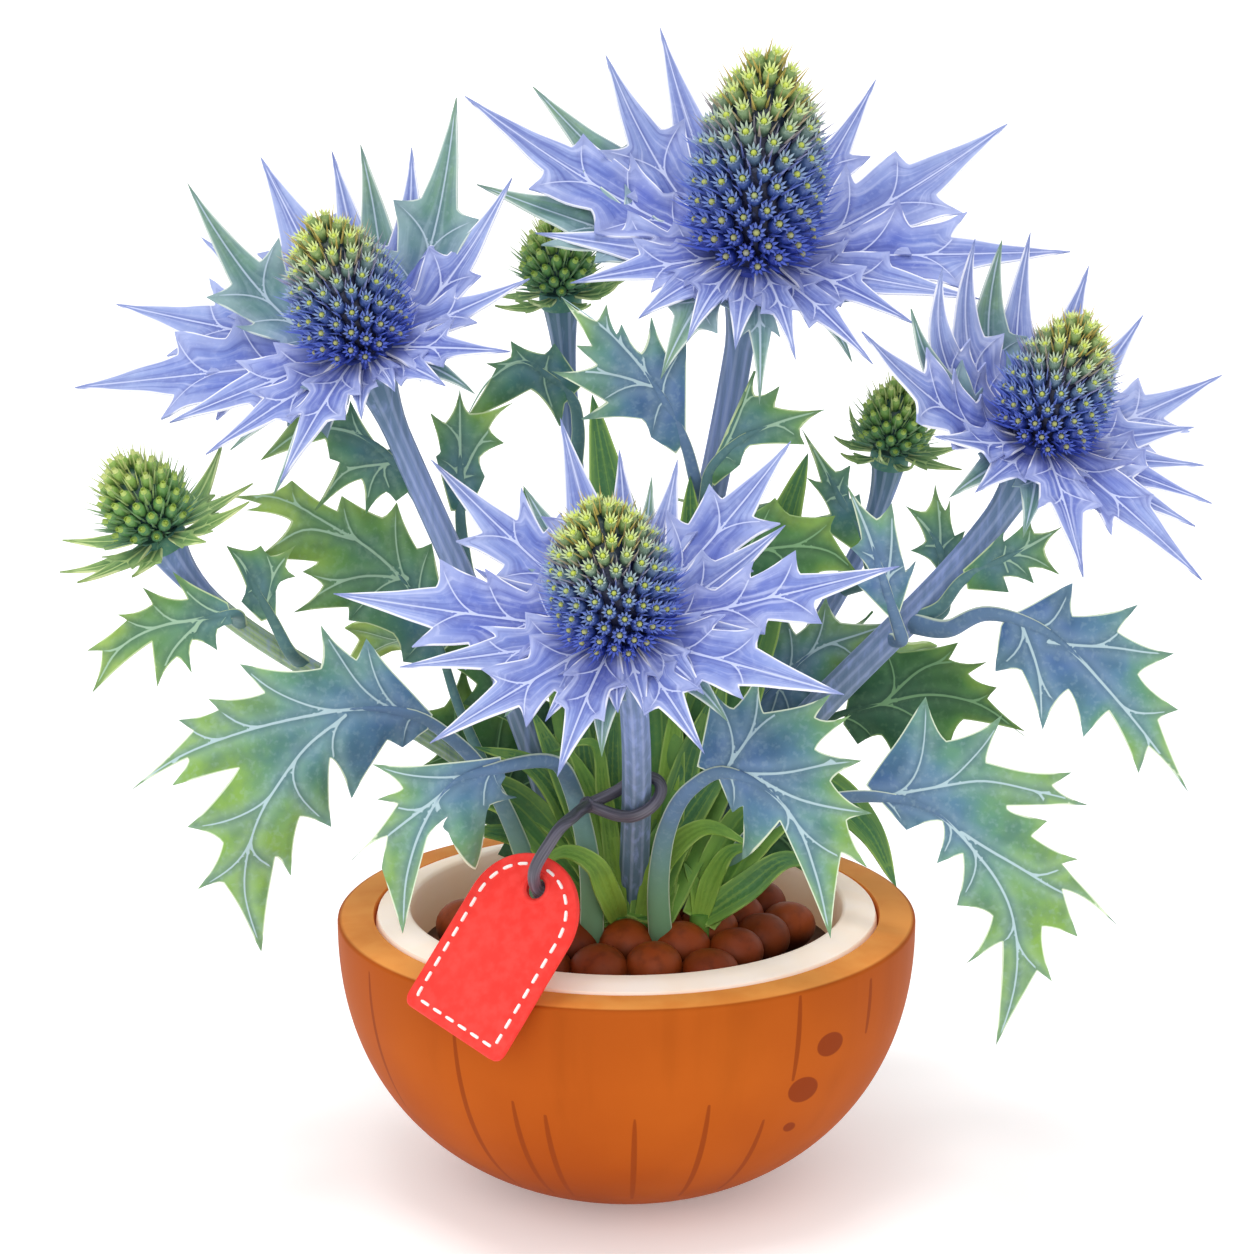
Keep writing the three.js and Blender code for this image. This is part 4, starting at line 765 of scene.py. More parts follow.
def flesh_skin():
    """White coconut flesh, faintly mottled, painted a little darker down its inner wall as shade in the
    hollow. A
    weak warm glow is painted light: it makes the flesh brighter than its lamps do."""
    # The emission is painted light that brightens the flesh.
    finish = Finish(
        "coconut_flesh", Roughness=0.5, Specular_IOR_Level=0.2,
        Emission_Color="#ffbe82", Emission_Strength=0.16,
    )
    mottle = finish.add("TexNoise", finish.place, Scale=1 / (16.7 * MM), Detail=4)
    # The last coat paints shade down the inner wall, where along falls.
    base = finish.coats(
        "#fffaf2", (mottle, 0.3, 0.75, 0, 1, "#fff0e0"), (finish.along, 1, 0, 0, 1, "#dcc6b8")
    )
    return finish.done(base, mottle, 0.15, 0.0003)


def pebble_skin():
    """Baked clay: chocolate brown, each pebble a little different, with a fine grain, and painted shade that
    darkens each pebble's lower half and the bed under them, where they sink in among each other."""
    finish = Finish("baked_clay", Roughness=0.5, Specular_IOR_Level=0.25)
    grain, patch = (
        finish.add("TexNoise", finish.place, Scale=1 / (size * MM), Detail=detail)
        for size, detail in ((2.63, 5), (13.3, 2))
    )
    base = finish.coats(
        finish.add("ValToRGB", finish.tint, stops=[(0.0, "#7a300a"), (0.5, "#8e3a0e"), (1.0, "#9e4612")]),
        # painted shade: each pebble darker low down, and the bed, whose along is 0, dark all over
        (finish.along, 0.25, 0.75, 1, 0, "#361506"),
        (patch, 0.5, 0.72, 0, 0.35, "#93481f"),
        (grain, 0.45, 0.7, 0, 0.35, "#421a09"),
    )
    return finish.done(base, grain, 0.25, 0.0004)


def tag_skin():
    """Coated card in red: a faint fibre under a soft sheen."""
    finish = Finish("coated_card", Roughness=0.5, Specular_IOR_Level=0.15)
    fibre, cloud = (
        finish.add("TexNoise", finish.place, Scale=1 / (size * MM), Detail=detail)
        for size, detail in ((2.38, 4), (25, 2))
    )
    base = finish.coats("#ee3831", (fibre, 0.35, 0.7, 0, 1, "#f4463f"), (cloud, 0.3, 0.8, 0, 0.2, "#f64e45"))
    return finish.done(base, fibre, 0.1, 0.0002)


def thread_skin():
    """White cotton thread with a fine twist, 0.67 mm from turn to turn."""
    finish = Finish("cotton_thread", Roughness=0.6)
    twist = finish.add("TexNoise", finish.place, Scale=1 / (0.667 * MM), Detail=1)
    base = finish.add("Mix", twist, "#fff8f4", "#f0e4de", data_type="RGBA")
    return finish.done(base, twist, 0.2, 0.0001)


def cord_skin():
    """Waxed round cord: smooth dark grey with a faint sheen along it."""
    finish = Finish("waxed_cord", Roughness=0.42)
    thread = finish.add("CombineXYZ", finish.along, finish.across)
    thread = finish.add("VectorMath", thread, (3, 14, 0), operation="MULTIPLY")
    streak = finish.add("TexNoise", thread, Scale=1, Detail=3)
    base = finish.coats("#46434e", (streak, 0.35, 0.7, 0, 1, "#716d7a"))
    return finish.done(base, streak, 0.2, 0.0002)


# ------------------------------------------------------------------ the plant's parts
# Heads: root round the crown, stem radii, head place, lean right and nod forward, cone radius and height,
# number of florets, and bract tips as [direction round the head, reach, rise].

FLOWERS = {
    "top": {
        "root": (3, 5), "radii": (3.1, 2.9), "at": (25.3, 11, 194.5), "lean": 4, "nod": 17,
        "cone": (13.2, 46),
        "florets": 150,
        "bracts": [
            (8, 66, 0), (33, 62, 16), (60, 49, 20), (88, 44, 18), (113, 54, 25), (133, 47, 25), (156, 66, 17),
            (176, 44, -1), (198, 38, -4), (218, 28, -8), (241, 25, -10), (264, 24, -10), (290, 28, -10),
            (314, 36, -10), (338, 36, -7), (352, 47, -4),
        ],
        "outer": [(22, 40, -10), (141, 60, 15), (167, 58, 4), (230, 26, -20), (278, 24, -22), (326, 26, -16)],
    },
    "left": {
        "root": (-9, -2), "radii": (2.9, 2.5), "at": (-52.5, -8.5, 179), "lean": -17, "nod": 15,
        "cone": (11, 30.5), "florets": 128,
        "bracts": [
            (12, 36, 0), (30, 43, 16), (60, 38, 24), (86, 39, 26), (104, 56, 23), (122, 57, 12), (137, 71, 3),
            (158, 67, -2), (180, 42, -4), (203, 38, -6), (240, 40, -7), (262, 20, -6), (288, 15, -5),
            (312, 22, -6), (334, 32, -4),
        ],
        "outer": [(48, 46, 31), (74, 34, 28), (135, 36, 34), (190, 32, -11), (226, 34, -14), (330, 22, -12)],
    },
    "right": {
        "root": (10, -2), "radii": (3.4, 2.8), "at": (83, -8, 160.5), "lean": 17, "nod": 15,
        "cone": (10.6, 28.5), "florets": 122,
        "bracts": [
            (355, 37, -2), (14, 36, 0), (30, 37, 3), (43, 50, 9), (64, 38, 17), (86, 34, 24), (110, 34, 28),
            (142, 30, 29), (176, 30, 28), (203, 47, 19), (222, 31, 3), (244, 28, -4), (286, 41, -8),
            (304, 24, -3), (320, 46, -6), (338, 36, -3),
        ],
        "outer": [(126, 30, 28), (186, 34, 20), (232, 26, -9), (272, 20, -13), (340, 24, -10)],
    },
    "front": {
        "root": (1, -9), "radii": (3.1, 2.7), "at": (-1, -51, 132.5), "lean": -10, "nod": 25,
        "cone": (12.2, 31.5), "florets": 146,
        "bracts": [
            (4, 55, 0), (25, 38, 5), (45, 54, 8), (65, 37, 12), (82, 34, 17), (98, 42, 21), (124, 60, 10),
            (143, 34, 4), (158, 60, 2), (178, 44, -2), (207, 44, -4), (225, 24, -6), (242, 34, -9),
            (260, 17, -7), (277, 20, -7), (292, 33, -9), (309, 22, -6), (327, 48, -4), (346, 28, -2),
        ],
        "outer": [(74, 36, 8), (112, 42, 8), (192, 26, -13), (250, 22, -14), (316, 24, -14)],
    },
}

BUDS = {
    "bud_left": {
        "root": (-9, 9), "radii": (2.3, 2), "at": (-94, -12, 142), "lean": -24, "nod": 12,
        "cone": (8.4, 18.5),
        "florets": 66, "ring": (10, 20, 5), "stem": "bud_stem",
    },
    "bud_mid": {
        "root": (-4, 11), "radii": (2.2, 2), "at": (-14, 40, 181), "lean": -4, "nod": 8, "cone": (7.4, 16.5),
        "florets": 62, "ring": (9, 15, 9),
    },
    "bud_right": {
        "root": (9, 8), "radii": (2.2, 2), "at": (55, 26, 150), "lean": 7, "nod": 8, "cone": (6.8, 16),
        "florets": 58, "ring": (9, 14, 14),
    },
}

# Leaves. Those that face the front are drawn as seen from it: rib is the stalk and midrib in space, base
# the rib point where the blade starts, tilt how far the blade comes back for each millimetre it rises,
# lobes the ribs of its lobes and edge its outline, both as [right, up]. The others follow a path and have
# even teeth.

LEAVES = {
    "leaf_big_left": {
        "rib": [
            (-13, -10, 52), (-35, -18, 100), (-42, -22, 106), (-53, -27, 109), (-65, -30, 108),
            (-79, -33, 105), (-91, -35, 100), (-98, -36, 95),
        ],
        "base": 1, "tilt": 0.35, "stalk": 2,
        "lobes": [[(-56, 108), (-63, 103), (-69, 96), (-74, 87), (-76, 75), (-73, 62)]],
        "edge": [
            (-39, 106), (-52, 122), (-54, 118), (-61, 125), (-61, 117), (-77, 118), (-72, 113), (-83, 112),
            (-81, 110), (-89, 108), (-86, 106), (-98, 95), (-87, 101), (-90, 96), (-77, 99), (-87, 88),
            (-80, 85), (-85, 76), (-80, 77), (-73, 62), (-70, 81), (-67, 77), (-65, 89), (-59, 86),
            (-59, 100), (-55, 91), (-48, 102), (-45, 100), (-40, 103),
        ],
    },
    "leaf_front_left": {
        "rib": [
            (-7.5, -19, 52), (-7, -20, 66), (-8, -20.5, 78), (-11, -19.5, 90), (-16, -33, 100),
            (-25, -41, 101), (-34, -45, 99), (-40, -48, 91), (-43, -50, 82), (-44, -51, 70),
        ],
        "base": 4, "tilt": 0.35, "stalk": 2.2,
        "lobes": [[(-35, 98), (-43, 92), (-54, 84)]],
        "edge": [
            (-25, 103), (-50, 102), (-44, 98), (-49, 96), (-45, 95), (-54, 84), (-47, 89), (-48, 83),
            (-47, 80), (-44, 70), (-39, 89), (-35, 93), (-36, 91), (-35, 90), (-30, 81), (-28, 91),
            (-27, 94), (-22, 93), (-25, 97), (-24, 99),
        ],
    },
    "leaf_front_right": {
        "rib": [
            (7.5, -18.5, 52), (6.5, -24, 72), (8, -29, 84), (13, -38, 96), (19, -44, 101), (27, -48, 99),
            (33, -51, 93), (37, -53, 83), (40, -54, 70),
        ],
        "base": 3, "tilt": 0.3, "stalk": 2.2,
        "lobes": [
            [(19, 101), (32, 102), (46, 104)], [(20, 102), (25, 110), (26, 120)],
            [(25, 101), (34, 97), (48, 94)],
        ],
        "edge": [
            (14, 101), (17, 116), (21, 113), (26, 120), (27, 112), (40, 116), (37, 112), (44, 112),
            (37, 106), (46, 104), (40, 100), (48, 94), (43, 93), (47, 84), (42, 87), (40, 70), (30, 93),
            (23, 83), (23, 95), (21, 93), (18, 100),
        ],
    },
    "leaf_big_right": {
        "rib": [
            (16, -5, 52), (27, -18, 81), (39, -25, 89), (50, -28, 91), (61, -31, 89), (69, -34, 82),
            (76, -37, 72), (78, -39, 62), (77, -40, 52), (74, -41, 43),
        ],
        "base": 2, "tilt": 0.3, "stalk": 2,
        "lobes": [[(51, 91), (65, 94), (77, 94), (92, 90)], [(67, 85), (79, 78), (98, 67)]],
        "edge": [
            (48, 93), (60, 110), (64, 102), (75, 107), (72, 98), (89, 96), (85, 94), (92, 90), (76, 90),
            (84, 87), (81, 84), (90, 80), (87, 79), (98, 67), (87, 74), (90, 65), (83, 67), (85, 56),
            (82, 58), (74, 43), (75, 64), (68, 60), (73, 69), (66, 71), (67, 81), (62, 79), (63, 87),
            (56, 85), (52, 89),
        ],
    },
    "leaf_drooping": {
        "rib": [
            (65, -11, 121), (72, -17, 126), (81, -22, 125), (88, -25, 121), (95, -27, 114), (102, -29, 106),
            (112, -31, 93),
        ],
        "base": 1, "tilt": 0.3, "stalk": 1.9,
        "lobes": [[(79, 125), (82, 117), (83, 105)], [(84, 122), (96, 121), (109, 120)]],
        "edge": [
            (76, 126), (89, 133), (89, 127), (102, 129), (98, 124), (109, 120), (102, 116), (110, 109),
            (106, 107), (112, 93), (104, 102), (102, 97), (96, 109), (91, 104), (88, 113), (83, 105),
            (79, 116), (74, 115), (75, 124),
        ],
    },
    "leaf_behind_right": {
        "skin": "leaf_dark",
        "rib": [
            (15, 6.5, 52), (30, 7, 82), (42, 10, 96), (53, 11, 99), (63, 11, 101), (73, 11, 99),
            (83, 11, 92),
        ],
        "base": 1, "tilt": 0.4,
        "lobes": [[(53, 99), (64, 107), (75, 107)]],
        "edge": [
            (46, 100), (53, 111), (57, 109), (69, 111), (67, 108), (75, 107), (71, 105), (77, 102),
            (75, 100), (83, 93), (70, 96), (67, 90), (62, 91), (56, 86), (53, 93), (48, 91), (45, 95),
        ],
    },
    "leaf_mid_left": {
        "skin": "leaf_green",
        "rib": [
            (-16, -4, 52), (-26, -2, 82), (-35, 3, 102), (-39, 6, 114), (-44, 7, 124), (-52, 6, 133),
            (-60, 3, 139), (-71, -1, 146), (-82, -4, 147),
        ],
        "base": 2, "tilt": 0.4,
        "lobes": [[(-45, 127), (-57, 128), (-68, 122)], [(-56, 136), (-66, 139), (-75, 134)]],
        "edge": [
            (-36, 114), (-40, 134), (-43, 133), (-47, 143), (-50, 140), (-58, 145), (-59, 142), (-68, 149),
            (-72, 147), (-82, 147), (-74, 145), (-77, 144), (-68, 141), (-75, 134), (-63, 132), (-66, 130),
            (-62, 127), (-68, 122), (-57, 122), (-57, 119), (-48, 116), (-46, 110), (-40, 109),
        ],
    },
    "leaf_under_left": {
        "skin": "leaf_green",
        "rib": [(-41, 5, 142), (-45, 6, 148), (-49, 4, 154), (-56, 2, 159), (-64, 0, 160), (-74, -2, 154)],
        "base": 1, "tilt": 0.4,
        "lobes": [[(-48, 152), (-57, 151), (-63, 144)]],
        "edge": [
            (-43, 149), (-47, 155), (-50, 155), (-56, 165), (-57, 162), (-66, 164), (-68, 161), (-74, 154),
            (-61, 158), (-60, 154), (-58, 153), (-63, 144), (-54, 149), (-53, 142), (-49, 146), (-47, 144),
            (-44, 146),
        ],
    },
    "leaf_beside_left": {
        "skin": "leaf_green",
        "rib": [(-33, 5, 131), (-34, 8, 139), (-34, 9, 147), (-34, 10, 155), (-34, 10, 166)],
        "base": 1, "tilt": 0.4,
        "lobes": [[(-34, 147), (-30, 155), (-23, 163)]],
        "edge": [
            (-36, 141), (-39, 152), (-38, 153), (-40, 161), (-37, 159), (-34, 166), (-32, 161), (-23, 163),
            (-28, 158), (-25, 155), (-30, 152), (-29, 148), (-32, 141),
        ],
    },
    "leaf_mid_bud": {
        "skin": "leaf_green",
        "rib": [
            (-10, 36, 151), (-11, 34, 158), (-16, 31, 164), (-22, 28, 168), (-28, 25, 165), (-34, 22, 156),
        ],
        "base": 1, "tilt": 0.4,
        "lobes": [],
        "edge": [
            (-9, 162), (-15, 171), (-17, 169), (-24, 172), (-24, 169), (-29, 168), (-27, 167), (-34, 156),
            (-20, 162), (-14, 153), (-13, 158),
        ],
    },
    "leaf_top_left": {
        "rib": [(14, 7, 148), (12, 4, 156), (8, 1, 165), (3, -1, 173), (-4, -3, 181), (-13, -4, 188)],
        "base": 1, "tilt": 0.35,
        "lobes": [[(5, 169), (-3, 172), (-15, 173)]],
        "edge": [
            (12, 157), (12, 177), (9, 174), (5, 183), (3, 176), (-1, 182), (-2, 180), (-4, 186), (-6, 183),
            (-13, 188), (-7, 178), (-10, 178), (-6, 174), (-15, 173), (-4, 166), (-9, 163), (3, 162),
            (5, 158), (10, 154),
        ],
    },
    "leaf_top_right": {
        "skin": "leaf_green",
        "rib": [(16, 7, 143), (17, 5, 150), (23, 3, 157), (31, 2, 161), (40, 0, 164)],
        "base": 1, "tilt": 0.35,
        "lobes": [[(19, 153), (23, 162), (26, 171)]],
        "edge": [
            (16, 149), (26, 171), (26, 166), (31, 168), (30, 164), (40, 164), (35, 160), (36, 157),
            (25, 156), (23, 152), (18, 147),
        ],
    },
    "leaf_inner_right": {
        "skin": "leaf_green",
        "rib": [(51, 17, 125), (49, 15, 133), (44, 14, 142), (40, 13, 150), (36, 13, 157)],
        "base": 1, "tilt": 0.35,
        "lobes": [],
        "edge": [
            (50, 132), (48, 143), (46, 142), (46, 149), (43, 148), (36, 157), (40, 146), (37, 147),
            (42, 139), (38, 138), (47, 131),
        ],
    },
    "leaf_narrow_right": {
        "rib": [(56, -8.5, 118), (53.5, -13, 126), (51, -15, 134), (48, -15, 143), (44, -15, 152)],
        "base": 1, "tilt": 0.3,
        "lobes": [[(52, 130), (53, 139), (53, 148)]],
        "edge": [
            (55, 125), (58, 136), (56, 134), (53, 148), (50, 145), (44, 152), (47, 141), (45, 139),
            (49, 133), (45, 133), (53, 124),
        ],
    },
    "leaf_right_up": {
        "skin": "leaf_green",
        "rib": [(65, 1, 122), (65, 2, 128), (64, 3, 134), (61, 3, 139), (57, 4, 143)],
        "base": 1, "tilt": 0.35,
        "lobes": [[(64, 131), (64, 138), (63, 147)]],
        "edge": [
            (66, 128), (69, 138), (67, 137), (66, 144), (65, 142), (63, 147), (61, 142), (57, 143),
            (61, 136), (58, 134), (62, 132), (65, 127),
        ],
    },
    "leaf_right_out": {
        "skin": "leaf_green",
        "rib": [(64, -7, 125), (68, -9, 131), (75, -10, 135), (82, -11, 139), (88, -12, 143)],
        "base": 1, "tilt": 0.3,
        "lobes": [],
        "edge": [
            (68, 133), (76, 141), (76, 139), (81, 144), (82, 141), (88, 143), (84, 138), (87, 133),
            (81, 134), (82, 131), (76, 132), (77, 129), (69, 129),
        ],
    },
    "leaf_bud_stalk": {
        "skin": "leaf_green",
        "rib": [(-79, -16.5, 126), (-86, -18, 125), (-93, -19, 124), (-101, -20, 120), (-107, -22, 111)],
        "base": 0, "tilt": 0.35,
        "lobes": [[(-85, 125), (-91, 119), (-94, 112)]],
        "edge": [
            (-80, 128), (-91, 134), (-88, 129), (-97, 131), (-95, 128), (-102, 126), (-100, 125),
            (-108, 119), (-105, 119), (-107, 111), (-95, 121), (-94, 112), (-90, 118), (-87, 115),
            (-87, 121), (-82, 119), (-82, 123), (-79, 124),
        ],
    },
    "leaf_bud_upper": {
        "skin": "leaf_green",
        "rib": [(-69, -9, 117), (-72, -8, 123), (-75, -7, 128), (-78, -6, 134), (-81, -5, 137)],
        "base": 1, "tilt": 0.3,
        "lobes": [[(-73, 125), (-71, 132), (-67, 137)]],
        "edge": [
            (-71, 123), (-71, 128), (-70, 130), (-67, 131), (-69, 133), (-67, 137), (-72, 135), (-74, 137),
            (-76, 136), (-81, 137), (-77, 129), (-78, 126), (-74, 122),
        ],
    },
    "leaf_curled_right": {
        "skin": "leaf_dark",
        "rib": [
            (7.5, 2.5, 52), (9, 3, 89), (13, 0, 112), (17, -4, 125), (23, -8, 135), (32, -10, 138),
            (41, -10, 137), (47, -10, 132),
        ],
        "base": 2, "tilt": 0.35,
        "lobes": [],
        "edge": [
            (15, 120), (12, 134), (17, 136), (22, 146), (25, 144), (30, 147), (33, 144), (42, 144),
            (41, 141), (47, 132), (39, 133), (35, 127), (30, 130), (25, 121), (21, 124), (18, 116),
        ],
    },
    "leaf_blue_right": {
        "rib": [
            (16.5, 2.5, 52), (19, 3.5, 83), (22, 4, 93), (30, 6, 103), (39, 6, 112), (48, 4, 116),
            (55, 2, 119),
        ],
        "base": 2, "tilt": 0.35,
        "lobes": [],
        "edge": [
            (24, 98), (26, 113), (30, 111), (32, 121), (35, 115), (41, 123), (44, 118), (55, 119), (48, 113),
            (50, 108), (44, 109), (43, 101), (37, 102), (35, 92), (29, 94), (26, 89),
        ],
    },
    "leaf_dark_left": {
        "skin": "leaf_dark",
        "rib": [(-4, -3.5, 52), (-11, 3, 73), (-18, 5.5, 87), (-25, 8, 100), (-32, 10, 113), (-39, 10, 123)],
        "base": 1, "tilt": 0.15,
        "lobes": [],
        "edge": [
            (-15, 80), (-23, 90), (-22, 95), (-34, 100), (-31, 104), (-41, 110), (-36, 113), (-39, 123),
            (-31, 118), (-21, 121), (-24, 113), (-13, 111), (-19, 102), (-7, 98), (-13, 89), (-4, 83),
            (-10, 76),
        ],
    },
    "leaf_low_right": {
        "skin": "leaf_dark",
        "rib": [(15.5, 13, 52), (17.5, 11.8, 66), (24, 10, 71), (32, 9, 71), (40, 7, 70)],
        "base": 1, "tilt": 0.4,
        "lobes": [],
        "edge": [
            (21, 69), (23, 79), (27, 76), (34, 82), (34, 76), (44, 78), (39, 73), (40, 70), (38, 68),
            (37, 64), (31, 66), (28, 60), (24, 64), (20, 61), (19, 65),
        ],
    },
    "leaf_low_left": {
        "skin": "leaf_dark",
        "rib": [(-16, 7, 52), (-19, 11, 62), (-24, 14.5, 74), (-32, 15.5, 86), (-40, 15, 94), (-47, 14, 97)],
        "base": 1, "tilt": 0.3,
        "lobes": [],
        "edge": [
            (-18, 62), (-27, 66), (-25, 70), (-36, 74), (-33, 79), (-44, 84), (-39, 88), (-47, 97), (-38, 97),
            (-34, 106), (-31, 98), (-23, 103), (-24, 92), (-14, 95), (-18, 84), (-11, 84), (-15, 72),
        ],
    },
}
for name, path, width in (
    ("leaf_back_left", [(-8, 14, 52), (-32, 40, 128), (-62, 56, 92)], 36),
    ("leaf_back_mid", [(1, 17, 52), (6, 52, 122), (4, 84, 78)], 36),
    ("leaf_back_right", [(8.5, 16, 52), (40, 44, 124), (66, 66, 84)], 36),
    ("leaf_back_high", [(20, 18, 118), (24, 34, 142), (19, 50, 128)], 22),
):
    LEAVES[name] = {"path": path, "width": width, "skin": "leaf_green"}

# Strap leaves stand in tufts: the foot of each, and its leaves as [line, width, shade], shade running from
# a bright leaf at 0 to a dark one at 1: painted light and painted shade within the tuft.
TUFTS = {
    "straps_left": {
        "root": (-1.6, -16),
        "blades": [
            ([(-4, -24.5, 70), (-6.5, -26.5, 76), (-12.5, -28.5, 79.5), (-19, -29, 75.5)], 5.5, 0.1),
            ([(-4.5, -15.5, 79.5), (-8.4, -14, 90.9), (-13.1, -12, 98.2)], 5.4, 0.15),
            ([(-4.6, -16, 88), (-7, -17, 99), (-15.5, -17.5, 97)], 4, 0.3),
            ([(-8, -10.5, 72.4), (-17.7, -8, 80.8), (-26.4, -9, 83.3)], 8, 0.6),
            ([(-7, -12, 78), (-14, -8, 92), (-19.5, -6, 103)], 8.5, 0.9),
            ([(-5.5, -12.5, 78), (-8.5, -11, 94), (-9.5, -11, 110)], 7, 0.95),
            ([(-2.8, -13, 78), (-2.8, -12, 95), (-2, -13, 112)], 6.5, 0.85),
            ([(-10, -10.5, 68), (-22, -8, 76), (-35, -9, 78)], 7, 0.95),
            ([(-9, -9.5, 77), (-20, -8.5, 92), (-31, -10, 96)], 7.5, 0.85),
            ([(-14, -10, 74), (-27, -10, 86), (-38, -13, 86), (-45, -16, 75)], 10, 0.9),
            ([(-6, -6, 88), (-13, 1, 118), (-21, 4, 147)], 15, 0.95),
        ],
    },
    "straps_centre": {
        "root": (15, -15),
        "blades": [
            ([(14.5, -15, 66.4), (11.6, -15.5, 73.2)], 3.6, 0.2),
            ([(18, -16.5, 71), (21.6, -19, 76.8), (27.2, -21, 78)], 4.6, 0.35),
            ([(24, -17.5, 68), (33, -16.5, 74), (40, -15, 72)], 6.5, 0.9),
            ([(26, -13, 80), (38, -12, 88), (49, -14, 80), (55, -16, 68)], 12, 0.75),
        ],
    },
    "straps_right": {
        "root": (3.2, -16),
        "blades": [
            ([(8.4, -18.5, 75.8), (16.5, -21, 82.3), (25.5, -23, 78.9)], 5.5, 0.05),
            ([(8, -10, 84.3), (10.4, -6, 102.5), (14, -4, 113.4)], 5.4, 0.1),
            ([(12, -9, 83), (17.5, -7, 98.7), (20.5, -6, 112)], 9, 0.8),
            ([(8.5, -14, 76), (17, -10, 88), (24, -9, 97)], 9, 0.9),
            ([(9.5, -10.5, 80), (13, -9, 94), (17, -9.5, 106)], 8.5, 0.95),
            ([(3, -7, 90), (-1, 2, 130), (-7, 6, 166)], 19, 0.95),
            ([(8, -6, 85), (13, 2, 120), (13, 6, 149)], 16, 0.95),
            ([(14, -5, 90), (27, 2, 125), (37, 5, 154)], 19, 0.9),
        ],
    },
}


def cone_profile(v):
    """The egg-shaped cone's radius at a share v of its height, as a share of its widest."""
    foot, widest = 0.86, 0.27
    low = foot + (1 - foot) * np.sin(np.pi / 2 * np.clip(v / widest, 0, 1))
    high = np.cos(np.pi / 2 * np.clip((v - widest) / (1 - widest), 0, 1) ** 1.18) ** 0.78
    return np.where(v < widest, low, high)


def floret(spread, reach):
    """One floret along +Z, its body 1 wide each way and 2 long: a barrel, nine narrow calyx teeth round its
    mouth that open by the spread, a domed heart, and three bristles beside it, longer by the reach.
    Gives points, faces and parts."""
    rings = np.array([(0.42, -1.6), (0.68, -0.5), (0.8, 0.3), (0.7, 0.95), (0.42, 1.15)])
    sides = 9
    angle = 2 * np.pi * np.arange(sides) / sides
    turn = np.column_stack([np.cos(angle), np.sin(angle), 0 * angle])
    points = [rings[:, :1, None] * turn[None] + np.array([0, 0, 1]) * rings[:, 1][:, None, None]]
    part = [np.repeat([0.0, 0.15, 0.28, 0.36, 0.4], sides)]
    faces = [
        (r * sides + k, r * sides + (k + 1) % sides, (r + 1) * sides + (k + 1) % sides, (r + 1) * sides + k)
        for r in range(4)
        for k in range(sides)
    ]
    points, count = [points[0].reshape(-1, 3)], 5 * sides
    for a in angle + 0.35:
        out, side = np.array([math.cos(a), math.sin(a), 0]), np.array([-math.sin(a), math.cos(a), 0])
        up = np.array([0, 0, 1])
        tooth = [0.42 * out + 0.17 * way * side + 1.0 * up for way in (-1, 1)]
        tooth += [0.36 * out + 1.3 * up]
        tooth += [(0.68 * spread * out + 0.13 * way * side) + 1.5 * up for way in (1, -1)]
        tooth += [0.9 * spread * out + 1.9 * up]
        points.append(np.array(tooth))
        part.append(np.full(6, 0.6))
        faces += [
            tuple(count + i for i in f)
            for f in ((0, 1, 3, 4), (1, 2, 5, 3), (2, 0, 4, 5), (3, 5, 4), (0, 2, 1))
        ]
        count += 6
    dome = np.array([(0.36, 1.05), (0.26, 1.4)])
    six = 2 * np.pi * np.arange(6) / 6
    for radius, z in dome:
        points.append(np.column_stack([radius * np.cos(six), radius * np.sin(six), 0 * six + z]))
    points.append(np.array([[0, 0, 1.52]]))
    part.append(np.full(13, 0.8))
    faces += [(count + k, count + (k + 1) % 6, count + 6 + (k + 1) % 6, count + 6 + k) for k in range(6)]
    faces += [(count + 6 + k, count + 6 + (k + 1) % 6, count + 12) for k in range(6)]
    count += 13
    for a, far in ((-1.9, 3.3), (-0.4, 2.8), (1.2, 3.0)):
        out = np.array([math.cos(a), math.sin(a), 0])
        side = np.array([-math.sin(a), math.cos(a), 0])
        spike = [0.95 * out + 0.2 * way * side for way in (-1, 1)]
        spike += [0.68 * out, 1.5 * out + [0, 0, far * reach]]
        points.append(np.array(spike) + [0, 0, -0.4])
        part.append(np.full(4, 1.0))
        faces += [tuple(count + i for i in f) for f in ((0, 1, 3), (1, 2, 3), (2, 0, 3), (0, 2, 1))]
        count += 4
    return np.vstack(points), faces, np.concatenate(part)


